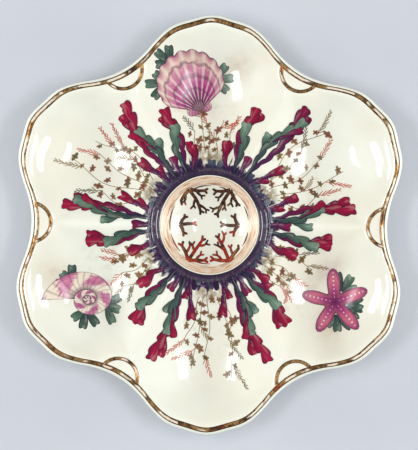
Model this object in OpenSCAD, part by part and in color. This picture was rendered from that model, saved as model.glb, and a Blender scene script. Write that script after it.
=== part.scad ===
// Six-lobed porcelain oyster plate: six scooped wells round a raised sauce well,
// a crimped lip, a foot ring luted on below, and fired-on gilding.
// Z is up, the plate stands on z = 0 at its centre, and one lobe points along +Y.

/* [Plate] */
// Width across two opposite lobes
plate_d = 230; // [200:1:280]
// Overall height, from the table to the top of the lip
plate_h = 27; // [24:0.5:34]
// Number of lobes, with one oyster well in each
lobe_count = 6; // [5:1:7]
// Radius of the arc that forms a lobe's edge
lobe_r = 42.4; // [38:0.1:48]
// Radius of the hollow arc between two lobes
notch_r = 51; // [42:0.5:60]
// Thickness of the porcelain wall, square to its surface
wall_t = 4.2; // [3.4:0.1:5]

/* [Lip] */
// Width of the lip round the wells
lip_w = 4.4; // [3.8:0.1:5]
// Thickness of the lip's rounded edge
lip_t = 3.4; // [2.8:0.1:4]
// Height of the lip's rolled crown
lip_crown = 0.3; // [0.1:0.05:0.4]
// Drop of the lip from a lobe to the notch between two lobes
notch_dip = 2.5; // [0:0.1:4]
// Number of crimps along the edge of one lobe
crimp_count = 5; // [3:2:5]
// Depth of a crimp, in and out of the outline
crimp_out = 0.45; // [0:0.05:0.8]
// Depth of a crimp, up and down
crimp_up = 0.45; // [0:0.05:0.8]

/* [Wells] */
// Clearance of a well's underside above the table
well_stand = 4; // [3:0.1:6]
// Run of a well's side, from its brim down to its floor
well_run = 30; // [25:0.5:36]
// Height of a ridge where it leaves the sauce well
ridge_h = 20; // [17:0.5:22]
// Rounding of the ridges and brims
ridge_round = 3; // [2:0.1:4]
// Radius of the flat land in the notch, where a ridge forks and meets the lip
land_r = 11.6; // [9:0.1:14]

/* [Sauce well] */
// Radius of the collar's crest
collar_r = 27.4; // [24:0.1:32]
// Height of the collar's crest
collar_h = 24; // [22:0.5:28]
// Width of the collar's outer slope
collar_w = 6; // [4:0.1:8]
// Clearance of the sauce well's underside above the table
sauce_stand = 5.3; // [4:0.1:7]

/* [Foot ring] */
// Mean radius of the foot ring
foot_r = 52.2; // [46:0.1:58]
// Width of the foot ring where it joins the plate
foot_w = 5.4; // [4.4:0.1:6.4]
// Width of the ring's standing face
foot_face_w = 2.6; // [2:0.1:3.2]
// Height of the rounding beside the standing face
foot_edge = 0.7; // [0.4:0.1:1.2]

/* [Gilding] */
// Modelled thickness of the gilding
gilt_t = 0.2; // [0.1:0.05:0.3]
// Width of the gilt line round the land in each notch
land_line_w = 1.9; // [1.2:0.1:2.4]
// Width of the gilt band inside the collar
collar_band_w = 5.2; // [3:0.1:6.5]
// Width of a coral stem at its root
coral_stem_w = 1.8; // [1:0.1:2.2]
// Length of a coral spray
coral_l = 13.5; // [10:0.5:16]
// Number of coral sprays in the sauce well
coral_count = 6; // [3:1:6]

/* [Hidden] */

porcelain_colour = [0.95, 0.93, 0.86];
bisque_colour = [0.90, 0.87, 0.80];
gilt_colour = [0.74, 0.54, 0.27];

// Plan of the outline
half_pitch = 180 / lobe_count;
first_lobe_angle = 90;
lobe_centre_r = plate_d / 2 - crimp_out - lobe_r;
notch_centre_r = lobe_centre_r * cos(half_pitch)
    + sqrt(pow(lobe_r + notch_r, 2) - pow(lobe_centre_r * sin(half_pitch), 2));
notch_rim_r = notch_centre_r - notch_r;
tangent_x = lobe_centre_r
    + (notch_centre_r * cos(half_pitch) - lobe_centre_r) * lobe_r / (lobe_r + notch_r);
tangent_y = notch_centre_r * sin(half_pitch) * lobe_r / (lobe_r + notch_r);
tangent_phi = atan2(tangent_y, tangent_x);

// Levels and radii that follow from the sizes above
well_floor_h = well_stand + wall_t;
sauce_floor_h = sauce_stand + wall_t;
collar_foot_r = collar_r + collar_w;
foot_in_r = foot_r - foot_w / 2;
foot_out_r = foot_r + foot_w / 2;
lip_round = lip_t / 2;

// Curves of the hollows: corner_power rounds a well's corners, and the bowl powers
// set how round the sauce well's floor and its brim are.
corner_power = 3;
bowl_floor_power = 2.6;
bowl_brim_power = 1.2;

// Steps of the mesh
columns = 20;
sauce_row_shares = [0.34, 0.56, 0.74, 0.87, 0.95, 1];
collar_row_shares = [0.22, 0.45, 0.7, 1];
ring_row_shares = [0.16, 0.4];
well_row_shares = [0.14, 0.3, 0.46, 0.61, 0.74, 0.85, 0.93, 0.975, 1];
under_well_row_shares = [0.97, 0.84, 0.64, 0.42, 0.2];
under_ring_row_shares = [0.4, 0];
under_sauce_row_shares = [0.88, 0.62, 0.34];
edge_turn = 45;
slope_step = 0.05;
smallest_gap = 0.001;

// Clearances that keep each gilt layer just clear of the mesh below it
band_gap = 0.03;
line_gap = 0.12;
line_stations = 16;
// Turn that keeps a line's end clear of the rim's band
line_end_clear = 1;

// Coral: each stem forks into two side branches and a tip, and each part again
coral_fork_angle = 38;
coral_fork_shares = [0.42, 0.68];
coral_branch_share = 0.52;
coral_taper_share = 0.62;
coral_levels = 2;
coral_facets = 16;

function lerp(a, b, share) = a + (b - a) * share;

// Angle of a point from the centre line of the lobe that it lies in
function lobe_phi(theta) =
    let (turned = theta - first_lobe_angle + half_pitch)
    turned - 2 * half_pitch * floor(turned / (2 * half_pitch)) - half_pitch;

// 1 at the middle of a lobe and 0 in the notch, and the crimps that fade out with it
function lobe_wave(phi) = pow(cos(90 * phi / half_pitch), 2);
function crimp_wave(phi) = cos(180 * crimp_count * phi / half_pitch) * lobe_wave(phi);

// The plate's outline: lobe arcs and hollow arcs that meet without a corner
function plain_outline_r(phi) =
    abs(phi) < tangent_phi
        ? lobe_centre_r * cos(phi) + sqrt(pow(lobe_r, 2) - pow(lobe_centre_r * sin(phi), 2))
        : let (psi = half_pitch - abs(phi))
          notch_centre_r * cos(psi) - sqrt(pow(notch_r, 2) - pow(notch_centre_r * sin(psi), 2));
function outline_r(phi) = plain_outline_r(phi) + crimp_out * crimp_wave(phi);
function brim_r(phi) = outline_r(phi) - lip_w;
function lip_z(phi) =
    plate_h - lip_crown - notch_dip * (1 - lobe_wave(phi)) - crimp_up * (1 - crimp_wave(phi)) / 2;

// Distance from the nearest brim: the ridge, the lip, the collar and the land in the notch.
// A power mean of the four rounds the well's corners.
function brim_distance(r, phi) =
    let (
        psi = half_pitch - abs(phi),
        to_ridge = r * sin(psi),
        to_lip = brim_r(phi) - r,
        to_collar = r - collar_foot_r,
        to_land = norm([r * cos(psi) - notch_rim_r, r * sin(psi)]) - land_r,
        gaps = [for (gap = [to_ridge, to_lip, to_collar, to_land]) max(gap, smallest_gap)],
        powers = [for (gap = gaps) pow(gap, -corner_power)]
    )
    pow(powers[0] + powers[1] + powers[2] + powers[3], -1 / corner_power);

// Height of the ridges and brims, rising from the collar to the lip
function crest_z(r, phi) =
    let (share = (r - collar_foot_r) / (brim_r(phi) - collar_foot_r))
    lerp(ridge_h, lip_z(phi), pow(max(share, 0), 2));

function well_z(r, phi) =
    let (
        rounded = norm([brim_distance(r, phi), ridge_round]) - ridge_round,
        rise = pow(1 - min(rounded / well_run, 1), 2)
    )
    lerp(well_floor_h, crest_z(r, phi), rise);

function sauce_z(r) =
    let (fall = 1 - pow(r / collar_r, bowl_floor_power))
    lerp(sauce_floor_h, collar_h, 1 - pow(fall, bowl_brim_power));

function collar_slope_z(r) =
    lerp(ridge_h, collar_h, (1 + cos(180 * (r - collar_r) / collar_w)) / 2);

// Height of the plate's upper face inside the lip
function top_z(r, phi) =
    r <= collar_r ? sauce_z(r)
    : r <= collar_foot_r ? collar_slope_z(r)
    : well_z(min(r, brim_r(phi)), phi);

// The underside lies one wall below the upper face, measured square to it
function under_z(r, phi) =
    let (
        along = top_z(r + slope_step, phi) - top_z(r - slope_step, phi),
        turn = atan(slope_step / r),
        across = top_z(r, phi + turn) - top_z(r, phi - turn),
        slope = norm([along, across]) / (2 * slope_step)
    )
    top_z(r, phi) - wall_t * sqrt(1 + pow(slope, 2));

// One closed row of points, with its radius and height as functions of the lobe angle
function row(radius_of, height_of) = [
    for (lobe = [0 : lobe_count - 1], column = [0 : columns - 1])
        let (
            phi = -half_pitch + 2 * half_pitch * column / columns,
            theta = first_lobe_angle + 2 * half_pitch * lobe + phi,
            r = radius_of(phi)
        )
        [r * cos(theta), r * sin(theta), height_of(r, phi)]
];

// Radius of a row between the foot ring and the brim
function spread_r(share) = function (phi) lerp(foot_out_r, brim_r(phi), share);
function circle_r(r) = function (phi) r;
function lip_r(inset) = function (phi) outline_r(phi) - inset;
function lip_level(drop) = function (r, phi) lip_z(phi) - drop;
surface_level = function (r, phi) top_z(r, phi);
under_level = function (r, phi) under_z(r, phi);

// Rows of the lip's top: its inner edge, its crown and the start of the rounded edge
lip_rows = [
    row(spread_r(1), lip_level(0)),
    row(lip_r((lip_w + lip_round) / 2), lip_level(-lip_crown)),
    row(lip_r(lip_round), lip_level(0))
];

// Faces between rows of n points. A row list that wraps closes on its first row.
function band_faces(rows, n, wraps) = [
    for (i = [0 : rows - (wraps ? 1 : 2)], j = [0 : n - 1])
        let (
            here = i * n,
            next = ((i + 1) % rows) * n,
            k = (j + 1) % n
        )
        each [[here + j, next + k, here + k], [here + j, next + j, next + k]]
];

// Solid skin through the rows, from a point at its upper centre to one at its lower centre
module skin(rows, upper, lower) {
    n = len(rows[0]);
    last = (len(rows) - 1) * n;
    upper_index = len(rows) * n;
    points = concat([for (r = rows) each r], [upper, lower]);
    polyhedron(
        points,
        concat(
            band_faces(len(rows), n, false),
            [for (j = [0 : n - 1]) [upper_index, j, (j + 1) % n]],
            [for (j = [0 : n - 1]) [upper_index + 1, last + (j + 1) % n, last + j]]
        )
    );
}

// Ring through the rows, which run once round its section
module ring(rows) {
    polyhedron([for (r = rows) each r], band_faces(len(rows), len(rows[0]), true));
}

// Porcelain body: six wells, ridges, lip and sauce well, moulded in one
module plate_body() {
    color(porcelain_colour)
    skin(
        concat(
            [for (share = sauce_row_shares) row(circle_r(collar_r * share), surface_level)],
            [for (share = collar_row_shares) row(circle_r(collar_r + collar_w * share), surface_level)],
            [for (share = ring_row_shares)
                row(circle_r(lerp(collar_foot_r, foot_in_r, share)), surface_level)],
            [for (r = [foot_in_r, foot_out_r]) row(circle_r(r), surface_level)],
            [for (share = well_row_shares) if (share < 1) row(spread_r(share), surface_level)],
            lip_rows,
            [for (turn = [edge_turn, 0, -edge_turn, -2 * edge_turn])
                row(lip_r(lip_round * (1 - cos(turn))), lip_level(lip_round * (1 - sin(turn))))],
            [for (share = under_well_row_shares) row(spread_r(share), under_level)],
            [for (r = [foot_out_r, foot_in_r]) row(circle_r(r), under_level)],
            [for (share = under_ring_row_shares)
                row(circle_r(lerp(collar_foot_r, foot_in_r, share)), under_level)],
            [for (share = under_sauce_row_shares) row(circle_r(collar_r * share), under_level)]
        ),
        [0, 0, sauce_floor_h],
        [0, 0, sauce_stand]
    );
}

// Foot ring: its top follows the plate's underside, taller below the ridges than below the wells
module foot_ring() {
    face_in_r = foot_r - foot_face_w / 2;
    face_out_r = foot_r + foot_face_w / 2;
    table_level = function (r, phi) 0;
    edge_level = function (r, phi) foot_edge;
    color(bisque_colour)
    ring([
        row(circle_r(foot_in_r), under_level),
        row(circle_r(foot_out_r), under_level),
        row(circle_r(face_out_r + foot_edge), edge_level),
        row(circle_r(face_out_r), table_level),
        row(circle_r(face_in_r), table_level),
        row(circle_r(face_in_r - foot_edge), edge_level)
    ]);
}

// Gilt band on the crown of the lip, over the same rows as the lip itself
module rim_gilding() {
    function raised(points, lift) = [for (p = points) p + [0, 0, lift]];
    color(gilt_colour)
    ring(concat(
        [for (points = lip_rows) raised(points, band_gap + gilt_t)],
        [for (i = [2 : -1 : 0]) raised(lip_rows[i], band_gap)]
    ));
}

// Turn at which an arc of this radius round the notch meets the inner edge of the lip
function lip_meet_angle(radius) =
    acos((pow(notch_r + lip_w, 2) - pow(notch_r, 2) - pow(radius, 2)) / (2 * notch_r * radius));

// Gilt line in each notch, which follows the edge of the land from lip to lip
module notch_gilding() {
    line_r = land_r - land_line_w / 2;
    // Corners of the line's section, as shares of its thickness and of half its width
    corner_shares = [[0, -1], [1, -1], [1, 1], [0, 1]];
    sides = len(corner_shares);
    for (lobe = [0 : lobe_count - 1]) {
        notch_theta = first_lobe_angle + half_pitch * (2 * lobe + 1);
        points = [
            for (i = [0 : line_stations], corner = corner_shares)
                let (
                    radius = line_r + corner[1] * land_line_w / 2,
                    end_angle = lip_meet_angle(radius) - line_end_clear,
                    turn = lerp(-end_angle, end_angle, i / line_stations),
                    x = notch_rim_r - radius * cos(turn),
                    y = radius * sin(turn),
                    r = norm([x, y]),
                    theta = notch_theta + atan2(y, x)
                )
                [r * cos(theta), r * sin(theta),
                 top_z(r, lobe_phi(theta)) + line_gap + corner[0] * gilt_t]
        ];
        color(gilt_colour)
        polyhedron(points, concat(
            [for (i = [0 : line_stations - 1], k = [0 : sides - 1])
                each [
                    [i * sides + k, i * sides + (k + 1) % sides, (i + 1) * sides + (k + 1) % sides],
                    [i * sides + k, (i + 1) * sides + (k + 1) % sides, (i + 1) * sides + k]
                ]],
            [[for (k = [sides - 1 : -1 : 0]) k], [for (k = [0 : sides - 1]) line_stations * sides + k]]
        ));
    }
}

// Profile of a gilt layer on the sauce well's bowl. It turns where the body's own rows do.
function bowl_layer(r_from, r_to) =
    let (
        row_radii = [for (share = sauce_row_shares) collar_r * share],
        bowl_line = [for (r = concat([0], row_radii)) [r, sauce_z(r)]],
        radii = concat([r_from], [for (r = row_radii) if (r > r_from && r < r_to) r], [r_to]),
        last = len(radii) - 1
    )
    concat(
        [for (r = radii) [r, lookup(r, bowl_line) + line_gap]],
        [for (i = [last : -1 : 0]) [radii[i], lookup(radii[i], bowl_line) + line_gap + gilt_t]]
    );

// Gilt band on the collar's inner slope, up to its crest
module collar_gilding() {
    color(gilt_colour)
    rotate_extrude()
        polygon(bowl_layer(collar_r - collar_band_w, collar_r));
}

// Plan of a coral spray that grows along +X and forks again at each level
module coral_plan(length, width, level) {
    tip_w = width * coral_taper_share;
    polygon([[0, -width / 2], [length, -tip_w / 2], [length, tip_w / 2], [0, width / 2]]);
    translate([length, 0]) circle(d = tip_w, $fn = coral_facets);
    if (level > 0)
        for (i = [0 : len(coral_fork_shares) - 1])
            translate([length * coral_fork_shares[i], 0])
            rotate(i % 2 == 0 ? coral_fork_angle : -coral_fork_angle)
                coral_plan(length * coral_branch_share, tip_w, level - 1);
}

// Gilt coral sprays on the sauce well's floor, which grow inward from the collar's band
module coral_gilding() {
    root_r = collar_r - collar_band_w;
    color(gilt_colour)
    intersection() {
        rotate_extrude()
            polygon(bowl_layer(0, root_r));
        linear_extrude(collar_h)
            for (i = [0 : coral_count - 1])
                rotate(first_lobe_angle + half_pitch + i * 360 / coral_count)
                translate([root_r, 0])
                rotate(180)
                    coral_plan(coral_l, coral_stem_w, coral_levels);
    }
}

plate_body();
foot_ring();
rim_gilding();
notch_gilding();
collar_gilding();
coral_gilding();
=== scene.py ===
"""A six-lobed porcelain oyster plate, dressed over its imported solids.

The plate is seen from straight above. Its shape follows one rule, PlateForm, which also drapes the
gilding and every painted motif over the glaze. All sizes are in metres.
"""

from __future__ import annotations

import logging
import math
import random
from dataclasses import dataclass, field
from enum import Enum
from functools import cached_property
from typing import Sequence

import bpy
import numpy as np
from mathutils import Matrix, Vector


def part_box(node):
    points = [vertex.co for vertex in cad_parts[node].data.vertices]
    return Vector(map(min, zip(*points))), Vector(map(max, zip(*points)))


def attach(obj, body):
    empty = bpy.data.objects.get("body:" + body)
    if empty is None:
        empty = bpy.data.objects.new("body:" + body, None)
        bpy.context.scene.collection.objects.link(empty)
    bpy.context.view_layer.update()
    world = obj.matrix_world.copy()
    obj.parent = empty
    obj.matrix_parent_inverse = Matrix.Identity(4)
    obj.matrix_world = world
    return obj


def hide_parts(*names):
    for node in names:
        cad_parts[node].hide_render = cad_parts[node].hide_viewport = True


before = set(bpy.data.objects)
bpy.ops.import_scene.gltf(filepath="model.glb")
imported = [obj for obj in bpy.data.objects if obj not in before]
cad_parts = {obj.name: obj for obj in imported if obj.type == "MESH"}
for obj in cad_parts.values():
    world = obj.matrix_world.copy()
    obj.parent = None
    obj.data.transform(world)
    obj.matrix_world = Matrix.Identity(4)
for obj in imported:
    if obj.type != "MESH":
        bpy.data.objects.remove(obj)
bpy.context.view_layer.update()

LOG = logging.getLogger("oyster_plate")
MM = 0.001

Colour = tuple[float, float, float, float]
Array = np.ndarray
Drawing = tuple[bpy.types.Object, Array, Array, dict[str, Array]]


def srgb(code: str) -> Colour:
    """Turns a colour code such as "f2ecd8" into the linear colour that a shader takes.

    Args:
        code: Six hexadecimal digits for red, green and blue.

    Returns:
        The linear colour, fully opaque.
    """
    parts = [int(code[i : i + 2], 16) / 255 for i in (0, 2, 4)]
    linear = [p / 12.92 if p <= 0.04045 else ((p + 0.055) / 1.055) ** 2.4 for p in parts]
    return (*linear, 1.0)


class Slot(Enum):
    """The record's material slots."""

    PORCELAIN = "porcelain"
    FOOT = "foot_porcelain"
    GILDING = "gilding"


def polar(r: float, angle: float) -> tuple[float, float]:
    """A place on the plan from its distance and direction."""
    return r * math.cos(angle), r * math.sin(angle)


def between(ends: tuple[float, float], share: Array) -> Array:
    """Values from the first of two ends to the second."""
    return ends[0] + (ends[1] - ends[0]) * share


def about(value: float, share: float, chance: random.Random) -> float:
    """A value changed by chance, by this share of itself at most."""
    return value * chance.uniform(1 - share, 1 + share)


# Modelling by operators


def deselect_all() -> None:
    """Leaves nothing selected, so that the next operator acts on new pieces alone."""
    bpy.ops.object.select_all(action="DESELECT")


def pick(pieces: Sequence[bpy.types.Object]) -> None:
    """Selects these pieces alone and makes the first one active.

    Args:
        pieces: The pieces that the next operator acts on.
    """
    deselect_all()
    for piece in pieces:
        piece.select_set(True)
    bpy.context.view_layer.objects.active = pieces[0]


def grid_sheet(name: str, rows: int, columns: int) -> tuple[bpy.types.Object, Array, Array]:
    """Adds a flat grid that a rule then bends into a piece.

    Args:
        name: Name of the new piece.
        rows: Faces along the sheet.
        columns: Faces across it.

    Returns:
        The sheet, and each vertex's place along and across it from 0 to 1.
    """
    deselect_all()
    bpy.ops.mesh.primitive_grid_add(x_subdivisions=rows, y_subdivisions=columns, size=1.0)
    sheet = bpy.context.object
    sheet.name = name
    sheet.data.name = name
    places = np.empty(len(sheet.data.vertices) * 3)
    sheet.data.vertices.foreach_get("co", places)
    places = places.reshape(-1, 3) + 0.5
    return sheet, places[:, 0], places[:, 1]


def place_vertices(piece: bpy.types.Object, x: Array, y: Array, z: Array) -> None:
    """Moves every vertex of a piece to its own place."""
    piece.data.vertices.foreach_set("co", np.column_stack([x, y, z]).ravel())
    piece.data.update()


def mark(piece: bpy.types.Object, name: str, values: Array) -> None:
    """Writes a number on each vertex, for the piece's finish to read."""
    layer = piece.data.attributes.new(name, "FLOAT", "POINT")
    layer.data.foreach_set("value", np.asarray(values, dtype=np.float32))


def close_seams(piece: bpy.types.Object, distance: float = 0.002 * MM) -> None:
    """Merges the vertices that meet at a sheet's seam and poles.

    Args:
        piece: The piece to close.
        distance: Vertices nearer than this become one.
    """
    pick([piece])
    bpy.ops.object.mode_set(mode="EDIT")
    bpy.ops.mesh.select_all(action="SELECT")
    bpy.ops.mesh.remove_doubles(threshold=distance)
    bpy.ops.object.mode_set(mode="OBJECT")


def join(pieces: Sequence[bpy.types.Object], name: str) -> bpy.types.Object:
    """Joins pieces into one.

    Args:
        pieces: The pieces to join.
        name: Name of the joined piece.

    Returns:
        The joined piece.
    """
    pick(pieces)
    if len(pieces) > 1:
        bpy.ops.object.join()
    joined = bpy.context.object
    joined.name = name
    joined.data.name = name
    return joined


def thicken(piece: bpy.types.Object, thickness: float) -> None:
    """Gives a sheet its thickness, upwards from where it lies, and applies it.

    Args:
        piece: The sheet.
        thickness: Thickness of the layer.
    """
    pick([piece])
    wall = piece.modifiers.new("layer", "SOLIDIFY")
    wall.thickness = thickness
    wall.offset = 1.0
    bpy.ops.object.modifier_apply(modifier=wall.name)


def smooth(piece: bpy.types.Object, degrees: float = 35.0) -> None:
    """Shades a piece smooth, except at edges sharper than this many degrees."""
    pick([piece])
    bpy.ops.object.shade_smooth_by_angle(angle=math.radians(degrees))


# Shader nodes


class Signal:
    """A value in a material's node tree. Arithmetic on it adds Math nodes."""

    def __init__(self, bench: ShaderBench, socket: bpy.types.NodeSocket) -> None:
        """Wraps one output socket."""
        self.bench = bench
        self.socket = socket

    def __add__(self, other: Signal | float) -> Signal:
        """Sum."""
        return self.bench.math("ADD", self, other)

    __radd__ = __add__

    def __sub__(self, other: Signal | float) -> Signal:
        """Difference."""
        return self.bench.math("SUBTRACT", self, other)

    def __rsub__(self, other: float) -> Signal:
        """Difference from a number."""
        return self.bench.math("SUBTRACT", other, self)

    def __mul__(self, other: Signal | float) -> Signal:
        """Product."""
        return self.bench.math("MULTIPLY", self, other)

    __rmul__ = __mul__

    def __truediv__(self, other: Signal | float) -> Signal:
        """Quotient."""
        return self.bench.math("DIVIDE", self, other)

    def __rtruediv__(self, other: float) -> Signal:
        """A number divided by this value."""
        return self.bench.math("DIVIDE", other, self)

    def __pow__(self, other: float) -> Signal:
        """Power."""
        return self.bench.math("POWER", self, other)

    def __abs__(self) -> Signal:
        """Size without sign."""
        return self.bench.math("ABSOLUTE", self)

    def rising(self, low: float, high: float) -> Signal:
        """A soft step, 0 below low and 1 above high."""
        return self.bench.node("ShaderNodeMapRange", {"interpolation_type": "SMOOTHSTEP"},
                               {"Value": self, "From Min": low, "From Max": high})

    def falling(self, low: float, high: float) -> Signal:
        """A soft step, 1 below low and 0 above high."""
        return 1 - self.rising(low, high)


class ShaderBench:
    """Builds the nodes of one material."""

    def __init__(self, name: str) -> None:
        """Makes an empty material with its output node.

        Args:
            name: Name of the material.
        """
        self.material = bpy.data.materials.new(name)
        self.material.use_nodes = True
        self.tree = self.material.node_tree
        self.tree.nodes.clear()
        self.output = self.tree.nodes.new("ShaderNodeOutputMaterial")

    def node(self, kind: str, settings: dict | None = None, inputs: dict | None = None,
             output: int | str = 0) -> Signal:
        """Adds one node.

        Args:
            kind: Type of the node.
            settings: Its properties, set first. "stops" gives a ramp's places and colours.
            inputs: Value or Signal for each of its sockets, by index or name.
            output: Index or name of the output to use.

        Returns:
            The chosen output.
        """
        made = self.tree.nodes.new(kind)
        for key, value in (settings or {}).items():
            if key == "stops":
                self._set_stops(made.color_ramp, value)
            else:
                setattr(made, key, value)
        for key, value in (inputs or {}).items():
            if isinstance(value, Signal):
                self.tree.links.new(value.socket, made.inputs[key])
            else:
                made.inputs[key].default_value = value
        return Signal(self, made.outputs[output])

    @staticmethod
    def _set_stops(ramp: bpy.types.ColorRamp, stops: Sequence[tuple[float, str]]) -> None:
        """Gives a ramp its stops.

        Args:
            ramp: The ramp.
            stops: Place and colour code of each stop.
        """
        while len(ramp.elements) < len(stops):
            ramp.elements.new(1.0)
        for element, (place, code) in zip(ramp.elements, stops):
            element.position = place
            element.color = srgb(code)

    def math(self, operation: str, *values: Signal | float) -> Signal:
        """Adds a Math node with these inputs."""
        return self.node("ShaderNodeMath", {"operation": operation}, dict(enumerate(values)))

    def mix(self, factor: Signal | float, first: Signal | str, second: Signal | str, blend: str = "MIX") -> Signal:
        """Mixes two colours, each given as a signal or a colour code.

        Args:
            factor: 0 gives the first colour and 1 the second.
            first: First colour.
            second: Second colour.
            blend: How the second colour is laid on the first.

        Returns:
            The mixed colour.
        """
        colours = [srgb(colour) if isinstance(colour, str) else colour for colour in (first, second)]
        return self.node("ShaderNodeMix", {"data_type": "RGBA", "blend_type": blend},
                         {0: factor, 6: colours[0], 7: colours[1]}, 2)

    def ramp(self, value: Signal, stops: Sequence[tuple[float, str]]) -> Signal:
        """Looks a value up in a row of colours."""
        return self.node("ShaderNodeValToRGB", {"stops": stops}, {0: value})

    def place(self) -> Signal:
        """Each point's place in the plate's own frame."""
        return self.node("ShaderNodeTexCoord", output="Object")

    def axes(self, vector: Signal) -> list[Signal]:
        """Splits a vector into its x, y and z."""
        split = self.node("ShaderNodeSeparateXYZ", inputs={0: vector}).socket.node
        return [Signal(self, output) for output in split.outputs]

    def attribute(self, name: str) -> Signal:
        """A number written on the piece's vertices."""
        return self.node("ShaderNodeAttribute", {"attribute_name": name}, output="Fac")

    def noise(self, vector: Signal, scale: float, detail: float = 3.0, distortion: float = 0.0) -> Signal:
        """Soft noise from 0 to 1, with features about 1 / scale wide."""
        return self.node("ShaderNodeTexNoise", {},
                         {"Vector": vector, "Scale": scale, "Detail": detail, "Distortion": distortion})

    def combine(self, x: Signal | float, y: Signal | float, z: Signal | float = 0.0) -> Signal:
        """Joins three values into a vector."""
        return self.node("ShaderNodeCombineXYZ", {}, {0: x, 1: y, 2: z})

    def bump(self, height: Signal, strength: float, distance: float) -> Signal:
        """Turns a height into a normal."""
        return self.node("ShaderNodeBump", {}, {"Strength": strength, "Distance": distance, "Height": height})

    def finish(self, inputs: dict) -> bpy.types.Material:
        """Adds the shader and ends the material.

        Args:
            inputs: The shader's sockets by name.

        Returns:
            The finished material.
        """
        shader = self.node("ShaderNodeBsdfPrincipled", {}, inputs)
        self.tree.links.new(shader.socket, self.output.inputs[0])
        return self.material


# The plate's form


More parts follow.
